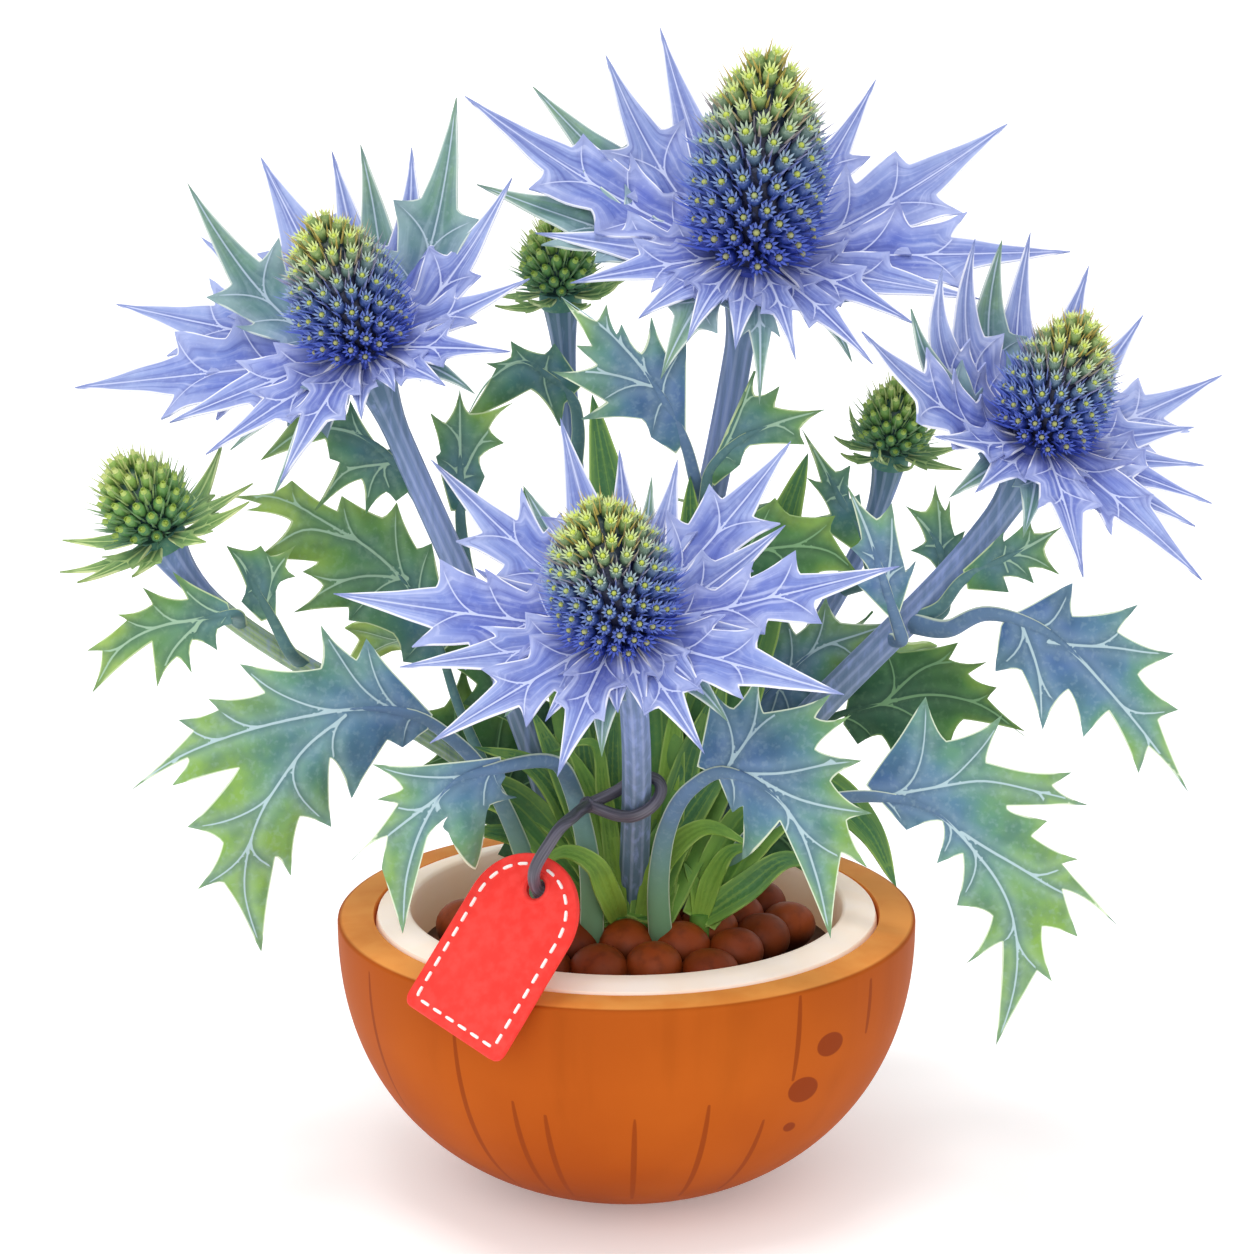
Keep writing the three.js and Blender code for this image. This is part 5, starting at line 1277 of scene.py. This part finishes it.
def cone_piece(name, flower, skins, is_bud):
    """An egg-shaped core with florets on it in the golden-angle spiral: equal areas of its surface hold equal
    numbers of florets. Each leans to the cone's tip, more so the higher it stands."""
    shape = Shape()
    radius, height = flower["cone"]
    foot = 0.75
    fine = np.linspace(0.03, 0.995, 400)
    width = radius * cone_profile(fine)
    slope = np.gradient(width, fine * (height - foot))
    area = np.cumsum(width * np.sqrt(1 + slope**2))
    count = flower["florets"]
    half = 0.5 * math.sqrt(area[-1] * (fine[1] - fine[0]) * (height - foot) * 2 * math.pi / count)
    size = half * (0.98 if is_bud else 0.95)

    v = np.linspace(0, 1, 26)
    angle = np.linspace(0, 2 * np.pi, 32, endpoint=False)
    r = np.maximum(radius * cone_profile(v) - 1.3 * size, 0.02)
    z = foot + (height - 1.3 * size - foot) * v
    ring = np.column_stack([np.cos(angle), np.sin(angle)])
    core = np.concatenate([r[:, None, None] * ring[None], np.broadcast_to(z[:, None, None], (26, 32, 1))], 2)
    first = shape.count
    # The core has no part, so the floret skin paints it in the dark foot colour: painted shade in the gaps.
    shape.grid(to_world(flower, core.reshape(-1, 3)).reshape(26, 32, 3), around=True, along=v[:, None] * 0.8)
    shape.faces.append(tuple(first + j for j in reversed(range(32))))

    share = np.interp((np.arange(count) + 0.5) / count, area / area[-1], fine)
    turn = np.arange(count) * GOLDEN_ANGLE
    out = np.interp(share, fine, slope)
    template, faces, part = floret(*((0.32, 1.15) if is_bud else (1, 1)))
    for k in range(count):
        c, s = math.cos(turn[k]), math.sin(turn[k])
        wide = radius * cone_profile(share[k])
        at = np.array([wide * c, wide * s, foot + (height - foot) * share[k]])
        skin_way = unit(np.array([c, s, -out[k]]))
        axis = unit(skin_way + np.array([0, 0, 0.6 + 0.6 * share[k]]))
        side = unit(np.cross([0, 0, 1], axis) + np.array([1e-6, 0, 0]))
        up = np.cross(axis, side)
        scale = size * (1.0 - 0.15 * share[k] ** 2) * (0.94 + 0.12 * float(noise(k)))
        turned = scale * (template[:, :1] * side + template[:, 1:2] * up + template[:, 2:] * axis)
        values = {"along": share[k], "part": part, "tint": float(noise(k))}
        shape.add(to_world(flower, at - axis * 1.25 * scale + turned), faces, **values)
    skin, slot = ("bud_floret", "cone_green") if is_bud else ("floret", "cone_blue")
    shape.build(f"head_{name}", skins[skin], slot, f"cone_{name}")


def bract_curve(flower, bract, root_z):
    """A bract's midrib in the head's own frame: out from the collar, then up or down to its tip."""
    turn, reach, rise = bract
    a, width = math.radians(turn), flower["cone"][0]
    steep = max(0, rise / reach)
    at = lambda r, z: (r * math.cos(a), r * math.sin(a), z)
    return (
        at(width * 0.45, root_z),
        at(max(0.45 * reach, (1.35 + 1.25 * steep) * width), root_z + 0.1 * max(0, rise) - 0.3),
        at(reach, rise),
    )


def ring_of_bracts(count, reach, seed):
    """A bud's even ring of bracts, its directions and reaches varied a little."""
    k = np.arange(count)
    turn = 360 * (k + 0.5 * noise(seed + k)) / count
    rise = reach * (0.5 * noise(seed + 60 + k) - 0.05)
    return list(zip(turn, reach * (0.8 + 0.45 * noise(seed + 30 + k)), rise))


def collar_piece(name, flower, skins, is_bud, seed):
    """The ruff of bracts under a cone, on a short round collar."""
    inner, outer = Shape(), Shape()
    axes = head_axes(flower)
    face = [axes[2], np.array([0, -0.45, 0.8]) @ axes]

    def add(shape, bract, root_z, k):
        curve = Bezier(*[to_world(flower, np.array([p]))[0] for p in bract_curve(flower, bract, root_z)])
        length = arc_length(curve)
        spines = 1 if is_bud or length < 24 else 2 if length < 46 else 3
        width = (0.85 + 0.3 * float(noise(seed + k))) * (0.8 if is_bud else 0.95 + 5 / length)
        edge = bract_edge(length, width, spines, seed + 9 * k)
        lift = rib_lift(curve, face, 0, length, 12, seed + k)
        blade(
            shape, edge, [[(0, 0), (length * 0.5, 0), (length, 0)]], lift, step=1.1 if is_bud else 1.3,
            thick=0.45, quilt=0.3, round_by=1.4, fine=0.45, tint=float(noise(seed + 5 * k)),
        )

    bracts = ring_of_bracts(*flower["ring"]) if is_bud else flower["bracts"]
    for k, bract in enumerate(bracts):
        add(inner, bract, (-1.1, -2.3)[k % 2], k)
    for k, bract in enumerate(flower.get("outer", [])):
        add(outer, bract, -3.3, k + 40)
    radius = flower["cone"][0] * 0.6
    rim = np.linspace(0, 2 * np.pi, 28, endpoint=False)
    profile = [
        (0.02, -COLLAR_THICK), (0.9 * radius, -COLLAR_THICK), (radius, -3.4),
        (radius, -1), (0.9 * radius, -0.4), (0.02, -0.4),
    ]
    collar = np.array([[(r * math.cos(a), r * math.sin(a), z) for a in rim] for r, z in profile])
    inner.grid(to_world(flower, collar), around=True, across=5, vein=5, along=0.1)
    inner.build(
        f"ruff_{name}", skins["bud_bract" if is_bud else "bract"], "bud_bract" if is_bud else "bract",
        f"bracts_{name}",
    )
    if outer.count:
        outer.build(f"outer_ruff_{name}", skins["outer_bract"], "bract")


def stem_piece(name, flower, skins):
    """A fluted stem that opens into a cup under its collar."""
    low, high = flower["radii"]
    flare = flower["cone"][0] * 0.5

    def radius(t):
        plain = low + (high - low) * t
        share = max(0, (t - 0.86) / 0.14)
        return plain + (flare - plain) * share**1.6

    shape = Shape()
    tube(shape, stem_curve(flower), radius, around=54, steps=44, grooves=FLUTES, depth=0.04)
    shape.build(f"stalk_{name}", skins[flower.get("stem", "stem")], "stem", f"stem_{name}")


def nearest_stem(point):
    """The place nearest to a point on any stem's centreline."""
    shares = np.linspace(0, 1, 80)
    lines = np.vstack([stem_curve(flower).at(shares) for flower in {**FLOWERS, **BUDS}.values()])
    return lines[np.argmin(np.linalg.norm(lines - point, axis=1))]


def leaf_piece(name, leaf, skins, seed):
    """A leaf: its ribbed stalk, which runs on under the blade as its midrib, and its blade."""
    shape = Shape()
    if "edge" in leaf:
        rib = Path(leaf["rib"])
        base = rib.t[leaf["base"] + 1] if leaf["base"] else 0.0
        ribs = [rib.at(np.linspace(base, 1, 12))[:, ::2], *leaf["lobes"]]
        blade(shape, leaf["edge"], ribs, front_lift(rib, leaf["tilt"], seed), tint=float(noise(seed)))
    else:
        rib, base = Bezier(*leaf["path"]), 0.3
        length = arc_length(rib) * (1 - base)
        edge = leaf_edge(length, leaf["width"], 4 if leaf["width"] > 30 else 3, 1.1, seed)
        ribs = [[(0, 0), (length / 2, 0), (length, 0)]]
        blade(shape, edge, ribs, rib_lift(rib, BACK_FACE, base, length, 12, seed), tint=float(noise(seed)))

    points, stalk = rib.at(np.linspace(0, 1, 60)), leaf.get("stalk", 1.4)
    from_ground = points[0][2] < RIM_Z
    if not from_ground:
        points = np.vstack([nearest_stem(points[0] - 9 * unit(points[2] - points[0])), points[2:]])
        extra = np.linalg.norm(points[1] - points[0]) / Path(points).length
        base = base * (1 - extra) + extra
    places = [0, 0.1, max(base, 0.12), base + 0.12, 1]
    t, turn = np.linspace(0, 1, 61)[:, None], np.linspace(0, 2 * np.pi, 20, endpoint=False)
    radius = lambda t: float(np.interp(t, places, [1.25 * stalk, 1.1 * stalk, 0.62 * stalk, 0.34, 0.06]))
    along = np.interp(t, [0, base + 0.02], [-0.5 if from_ground else 0.05, 0.1])
    tube(
        shape, Path(points), radius, around=20, steps=60, flat=0.7, along=along,
        vein=np.interp(t, [base, base + 0.16], [0.9, -0.1]),
        rim=0.1 + np.where(t < base + 0.04, 1.9 * (1 - np.abs(np.cos(turn))), 5),
    )
    shape.build(f"{name}_blade", skins[leaf.get("skin", "leaf")], "leaf", name)


def tuft_piece(name, tuft, skins, seed):
    """A tuft of arching strap leaves from one foot."""
    shape = Shape()
    x, y = tuft["root"]
    for k, (line, width, shade) in enumerate(tuft["blades"]):
        curve = Path([(x, y, 60.5), *line])
        length = arc_length(curve)
        s = np.linspace(0, 0.94, 7)
        half = 0.5 * width * np.maximum(outline(0.12 + 0.88 * s), 0.35 * (1 - s))
        edge = [*zip(s * length, half), (length, 0), *zip(s[::-1] * length, -half[::-1])]
        lift = rib_lift(curve, np.array([0, -0.8, 0.5]), 0, length, 18, seed + k)
        ribs = [[(0, 0), (length / 2, 0), (length, 0)]]
        for out in (-0.27 * width, 0.27 * width):
            ribs.append([(0, 0.4 * out), (0.4 * length, out), (0.93 * length, 0.2 * out)])
        # tint=shade picks each strap's brightness on the skin's ramp: painted light and shade.
        blade(shape, edge, ribs, lift, quilt=0.25, fine=0.4, slanted=False, tint=shade)
    foot = Bezier((x, y, 50), (x, y, 56), (x, y, 62))
    tube(shape, foot, lambda t: 2.1, around=14, steps=4, vein=3, rim=5)
    shape.build(f"{name}_tuft", skins["strap"], "strap", name)


# ------------------------------------------------------------------ the shell, the pebbles, the tag


def bowl_arc(radius, depth, start, steps):
    """A bowl's wall from its foot to the rim's plane, fuller than an ellipse."""
    a0 = math.asin((start / radius) ** (1 / FULLNESS))
    a = np.linspace(a0, np.pi / 2, steps + 1)
    z = RIM_Z - depth * np.maximum(0, np.cos(a)) ** FULLNESS
    return np.column_stack([radius * np.sin(a) ** FULLNESS, z])


def lathe(shape, profile, around=144, **values):
    """Adds a surface of revolution about Z from [radius, height] points."""
    angle = np.linspace(0, 2 * np.pi, around, endpoint=False)
    r, z = np.maximum(profile[:, 0], 0.02), profile[:, 1]
    x, y = np.outer(r, np.cos(angle)), np.outer(r, np.sin(angle))
    points = np.stack([x, y, np.outer(z, np.ones(around))], 2)
    shape.grid(points, around=True, **values)
    return points


def shell_piece(skins):
    """The coconut's half shell with its sawn rim. Its across is the distance to the side of the nearest
    seam in millimetres, each seam widest in its middle, and its tint is 1 on the outside's front."""
    outer = bowl_arc(SHELL_RADIUS, SHELL_DEPTH, FOOT, 60)
    outer[:, 1] = np.maximum(outer[:, 1], 0)
    hollow = SHELL_RADIUS - SHELL_WALL
    inner = bowl_arc(hollow, SHELL_DEPTH - SHELL_WALL, 0.02, 30)[::-1]
    rim = np.array([
        (SHELL_RADIUS - 0.05, RIM_Z + 0.3), (SHELL_RADIUS - 0.35, RIM_Z + 0.6),
        (SHELL_RADIUS - 1, RIM_Z + 0.75), (hollow + 3, RIM_Z + 1.1), (hollow + 0.3, RIM_Z + 1.2),
    ])
    profile = np.vstack([[(0.02, 0)], outer, rim, inner])
    shape = Shape()
    part = np.zeros(len(profile))
    part[len(outer) + 3 : len(outer) + 6] = 1
    height = np.clip(profile[:, 1] / RIM_Z, 0, 1)
    outside = (np.arange(len(profile)) <= len(outer)).astype(float)[:, None]
    columns = 216
    pitch = 360 / columns
    gap = np.full((len(profile), columns), 5.0)
    for direction, low, high in SEAMS:
        turn = (pitch * np.arange(columns) - pitch * round(direction / pitch) + 180) % 360 - 180
        share = np.clip((profile[:, 1:] - low) / (high - low), 0, 1)
        half = np.where(share * (1 - share) > 0, 0.9 * np.sqrt(share * (1 - share)), -2)
        gap = np.minimum(gap, profile[:, :1] * np.radians(np.abs(turn)) - half)
    gap = np.where(outside > 0, gap, 5)
    front = outside * (np.sin(np.radians(pitch * np.arange(columns))) < 0)
    lathe(shape, profile, around=columns, along=height[:, None], part=part[:, None], across=gap, tint=front)
    shape.build("coconut_half", skins["shell"], "shell", "coconut_shell")


def flesh_piece(skins):
    """The white flesh inside the shell, its sawn face a little higher at its inner edge."""
    inner_radius = SHELL_RADIUS - SHELL_WALL - GAP - FLESH_WALL
    inner_depth = SHELL_DEPTH - SHELL_WALL - GAP - FLESH_WALL
    outer = bowl_arc(inner_radius + FLESH_WALL, inner_depth + FLESH_WALL, 0.02, 30)
    inner = bowl_arc(inner_radius, inner_depth, 0.02, 30)[::-1]
    rim = np.array([
        (inner_radius + FLESH_WALL - 0.4, RIM_Z + 1.5), (inner_radius + 4, RIM_Z + 2.4),
        (inner_radius + 1.0, RIM_Z + 3.0), (inner_radius + 0.3, RIM_Z + 2.8), (inner_radius, RIM_Z + 2.2),
    ])
    profile = np.vstack([outer, rim, inner])
    # depth falls from 1 at the sawn face down the inner wall, where the flesh skin paints shade.
    depth = np.clip((profile[:, 1] - RIM_Z + 10) / 11, 0, 1)
    depth[: len(outer)] = 1
    shape = Shape()
    lathe(shape, profile, around=144, along=depth[:, None])
    shape.build("coconut_meat", skins["flesh"], "flesh", "coconut_flesh")


def pebble_piece(skins):
    """Round clay pebbles packed like a honeycomb, each a little lumpy and turned its own way, over a bed
    painted dark as the shade between them."""
    shape = Shape()
    rows, columns = 14, 22
    theta = np.linspace(0.001, np.pi - 0.001, rows)[:, None]
    phi = np.linspace(0, 2 * np.pi, columns, endpoint=False)[None, :]
    ball = np.stack([np.sin(theta) * np.cos(phi), np.sin(theta) * np.sin(phi), np.cos(theta) + 0 * phi], 2)
    p = PEBBLES
    spread = p["spread"]
    for i in range(-9, 10):
        for j in range(-9, 10):
            x, y = p["pitch"] * (i + 0.5 * j), p["pitch"] * j * math.sin(math.pi / 3)
            if math.hypot(x, y) >= spread:
                continue
            k = 20 * i + j
            n = noise(k + np.arange(6))
            crown = p["edge"] + p["dome"] * (1 - (x * x + y * y) / spread**2) + p["top"] + 0.9 * n[0]
            size = np.array(p["size"]) * (0.95 + 0.1 * n[1:4])
            lumps = 1 + 0.03 * np.sin(3 * phi + 6 * n[4]) * np.sin(theta) ** 2
            lumps = lumps + 0.02 * np.sin(2 * theta + 6 * n[5])
            points = ball * size * lumps[:, :, None] + np.array([x, y, crown - size[2]])
            first = shape.count
            # low runs from 1 on a pebble's top to 0 under it; the skin paints shade where it is low.
            low = np.broadcast_to(0.5 + 0.5 * np.cos(theta), (rows, columns))
            shape.grid(points[::-1], around=True, tint=float(n[2]), along=low[::-1])
            shape.faces.append(tuple(first + c for c in range(columns)))
            shape.faces.append(tuple(first + (rows - 1) * columns + c for c in reversed(range(columns))))
    bed_radius = SHELL_RADIUS - SHELL_WALL - FLESH_WALL - 3 * GAP
    bed = bowl_arc(bed_radius, SHELL_DEPTH - SHELL_WALL - FLESH_WALL - 3 * GAP, 0.02, 20)
    wall = bed[bed[:, 1] < p["filling_rim"] - 0.1]
    bed = np.vstack([wall, [(bed_radius - 1, p["filling_rim"]), (0.02, p["filling_crown"])]])
    # The bed carries no along, so the skin paints it all in the dark shade colour.
    lathe(shape, bed, around=72, tint=0.0)
    shape.build("pebble_bed", skins["pebble"], "pebbles", "clay_pebbles")


# The tag's sizes, the middle of its hole, and the ways in which it hangs and runs to its right.
TAG = {"width": 26, "length": 39.5, "thick": 1.6, "corner": 2, "hole_from_top": 6.5, "hole": 2.1}
TAG_EYE = np.array([-17.6, -47.4, 78.0])
TAG_DOWN = np.array([-0.515, -0.243, -0.827])
TAG_RIGHT = np.array([0.73, -0.635, -0.268])
TAG_OUT = unit(np.cross(TAG_DOWN, TAG_RIGHT))
CORD_RADIUS = 1.25


def tag_outline(inset, count=96):
    """The tag's edge, or a line inside it, as points [right, down] round from the top left."""
    half = TAG["width"] / 2 - inset
    top = -TAG["hole_from_top"] + TAG["width"] / 2
    end = TAG["length"] - TAG["hole_from_top"] - inset
    corner = max(0.3, TAG["corner"] - inset * 0.4)
    arc = np.linspace(np.pi, 2 * np.pi, count // 2)
    points = [(half * math.cos(a), top + half * math.sin(a)) for a in arc]
    for cx, a0 in ((half - corner, 0), (-half + corner, math.pi / 2)):
        for a in np.linspace(a0, a0 + math.pi / 2, 7):
            points.append((cx + corner * math.cos(a), end - corner + corner * math.sin(a)))
    return np.array(points)


def tag_place(flat, out):
    """Points [right, down] on the tag, raised off its middle plane."""
    return TAG_EYE + np.outer(flat[:, 0], TAG_RIGHT) + np.outer(flat[:, 1], TAG_DOWN) + np.outer(out, TAG_OUT)


def along_line(points, count):
    """Evenly spaced points round a closed line."""
    closed = np.vstack([points, points[:1]])
    length = np.concatenate([[0], np.cumsum(np.linalg.norm(np.diff(closed, axis=0), axis=1))])
    at = np.linspace(0, length[-1], count, endpoint=False)
    return np.column_stack([np.interp(at, length, closed[:, k]) for k in (0, 1)])


def tag_piece(skins):
    """The swing tag with softened edges, a raised ring round its hole and a line of white stitches."""
    count = 160
    hole_angle = np.linspace(0, 2 * np.pi, count, endpoint=False) + np.pi / 2
    edge = along_line(tag_outline(0), count)
    start = np.argmin(np.abs(edge[:, 0]) + (edge[:, 1] < 0) * 100)
    edge = np.roll(edge, -start, axis=0)
    turn = 1 if edge[5, 0] < edge[0, 0] else -1
    hole = TAG["hole"] * np.column_stack([np.cos(hole_angle), np.sin(hole_angle)])
    if turn < 0:
        hole[:, 0] *= -1
    half = TAG["thick"] / 2
    soft = half - 0.25  # where the rounding of its edges starts
    towards = unit(edge - hole)
    between = hole + 0.5 * (edge - hole)
    ring = lambda flat, out: tag_place(flat, np.full(count, out))
    loops = [
        ring(hole, soft), ring(hole + 0.25 * unit(hole), half), ring(between, half),
        ring(edge - 0.35 * towards, half), ring(edge - 0.08 * towards, soft),
        ring(edge - 0.08 * towards, -soft), ring(edge - 0.35 * towards, -half), ring(between, -half),
        ring(hole + 0.25 * unit(hole), -half), ring(hole, -soft), ring(hole, soft),
    ]
    shape = Shape()
    grid = np.stack(loops)
    shape.grid(grid if turn > 0 else grid[:, ::-1], around=True)
    shape.build("tag_card", skins["tag"], "tag", "swing_tag", sharp=40)

    ring_shape = Shape()
    a = np.linspace(0, 2 * np.pi, 48, endpoint=False)
    b = np.linspace(0, 2 * np.pi, 10, endpoint=False)
    radius = TAG["hole"] + 0.75 + 0.55 * np.cos(b)[:, None]
    flat = np.stack([radius * np.cos(a), radius * np.sin(a)], 2).reshape(-1, 2)
    out = half - 0.1 + 0.35 * np.sin(b)[:, None] + 0 * a
    ring_shape.grid(tag_place(flat, out.ravel()).reshape(10, 48, 3)[::-1], around=True)
    ring_shape.faces += [(9 * 48 + j, 9 * 48 + (j + 1) % 48, (j + 1) % 48, j) for j in range(48)]
    ring_shape.build("tag_eyelet", skins["tag"], "tag")

    stitches = Shape()
    dash, pitch, count = 9, 13, 390
    line = along_line(tag_outline(2.3), count)
    for k in range(0, count, pitch):
        run = line[np.arange(k, k + dash) % count]
        if np.hypot(*(run.mean(0))) < TAG["hole"] + 1.9:
            continue
        middle = tag_place(run, np.full(dash, half + 0.12))
        forward = unit(np.gradient(middle, axis=0))
        side = np.cross(TAG_OUT, forward)
        width = 0.36 * np.sqrt(np.clip(1 - np.linspace(-1.0, 1.0, dash) ** 8, 0.35, 1))[:, None]
        section = [(-1, -0.25), (-0.7, 0.18), (0.7, 0.18), (1, -0.25)]
        rows = np.stack([middle + side * width * s + TAG_OUT * h for s, h in section], 1)
        first = stitches.count
        stitches.grid(rows, around=True)
        last = first + 4 * (dash - 1)
        stitches.faces += [tuple(first + j for j in (3, 2, 1, 0)), tuple(last + j for j in range(4))]
    stitches.build("tag_stitches", skins["thread"], "tag", sharp=40)


def cord_piece(skins):
    """The cord: a stopper knot behind the tag, through its hole, up to a small knot, and round the front
    stem."""
    stem = stem_curve(FLOWERS["front"])
    t = np.linspace(0, 1, 400)
    arc = np.concatenate([[0], np.cumsum(np.linalg.norm(np.diff(stem.at(t), axis=0), axis=1))])
    share = np.interp(0.49 * arc[-1], arc, t)  # the loop hangs a little under the stem's half length
    centre, forward = stem.at(share)[0], stem.tangent(share)[0]
    ring = FLOWERS["front"]["radii"][0] + CORD_RADIUS + 0.5
    left = np.array([-1.0, 0, 0])
    left = unit(left - forward * (left @ forward))
    ahead = np.cross(forward, left)
    turn = lambda a, r: centre + (left * r - forward * 2.5) * math.cos(a) + ahead * r * math.sin(a)
    knot = turn(0, ring + 5)
    loop = [knot] + [turn(math.radians(50 + 26 * i), ring) for i in range(11)] + [knot]
    on_tag = lambda right, down, out: TAG_EYE + right * TAG_RIGHT + down * TAG_DOWN - out * TAG_OUT
    lerp = lambda a, b, s: a + (b - a) * s
    main = [
        on_tag(0, 0, TAG["thick"] / 2 + 2.1), on_tag(0, 0, 0), on_tag(0, -2.5, -4),
        lerp(on_tag(0.5, -9, -6), knot, 0.1), lerp(on_tag(0, -12, -5), knot, 0.6), knot,
    ]
    shape = Shape()
    tube(shape, Path(main), lambda t: CORD_RADIUS, around=16, steps=70)
    tube(shape, Path(loop), lambda t: CORD_RADIUS, around=16, steps=90)
    for where, size in ((knot, 1.75), (main[0], 2.4)):
        path = Path([where + np.array([0, 0, -size]), where, where + np.array([0, 0, size])])
        ball = lambda t: size * math.sqrt(max(0.02, 1 - (2 * t - 1) ** 2))
        tube(shape, path, ball, around=16, steps=14)
    shape.build("tie_cord", skins["cord"], "cord", "tag_cord")


# ------------------------------------------------------------------ the whole


def make_floor():
    """A white floor that shines a little, as a lit table does."""
    bpy.ops.mesh.primitive_plane_add(size=8, location=(0, 0, 0))
    floor = bpy.context.object
    floor.name = "floor"
    finish = Finish("lit_white_floor", Roughness=0.9, Emission_Color="#ffffff", Emission_Strength=0.22)
    floor.data.materials.append(finish.done("#ffffff"))
    floor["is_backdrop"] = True


def main():
    """Builds the whole scene and measures the bounds of the CAD's forms and of the pieces that replace them.
    """
    place_camera()
    place_light()
    before = [list(map(float, corner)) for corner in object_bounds()]
    make_floor()
    skins = make_skins()
    shell_piece(skins)
    flesh_piece(skins)
    pebble_piece(skins)
    for k, (name, flower) in enumerate([*FLOWERS.items(), *BUDS.items()]):
        is_bud = "ring" in flower
        stem_piece(name, flower, skins)
        cone_piece(name, flower, skins, is_bud)
        collar_piece(name, flower, skins, is_bud, 100 * (k + 1))
    for k, (name, leaf) in enumerate(LEAVES.items()):
        leaf_piece(name, leaf, skins, 1000 + 20 * k)
    for k, (name, tuft) in enumerate(TUFTS.items()):
        tuft_piece(name, tuft, skins, 2000 + 10 * k)
    tag_piece(skins)
    cord_piece(skins)
    after = [list(map(float, corner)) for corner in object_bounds()]


main()
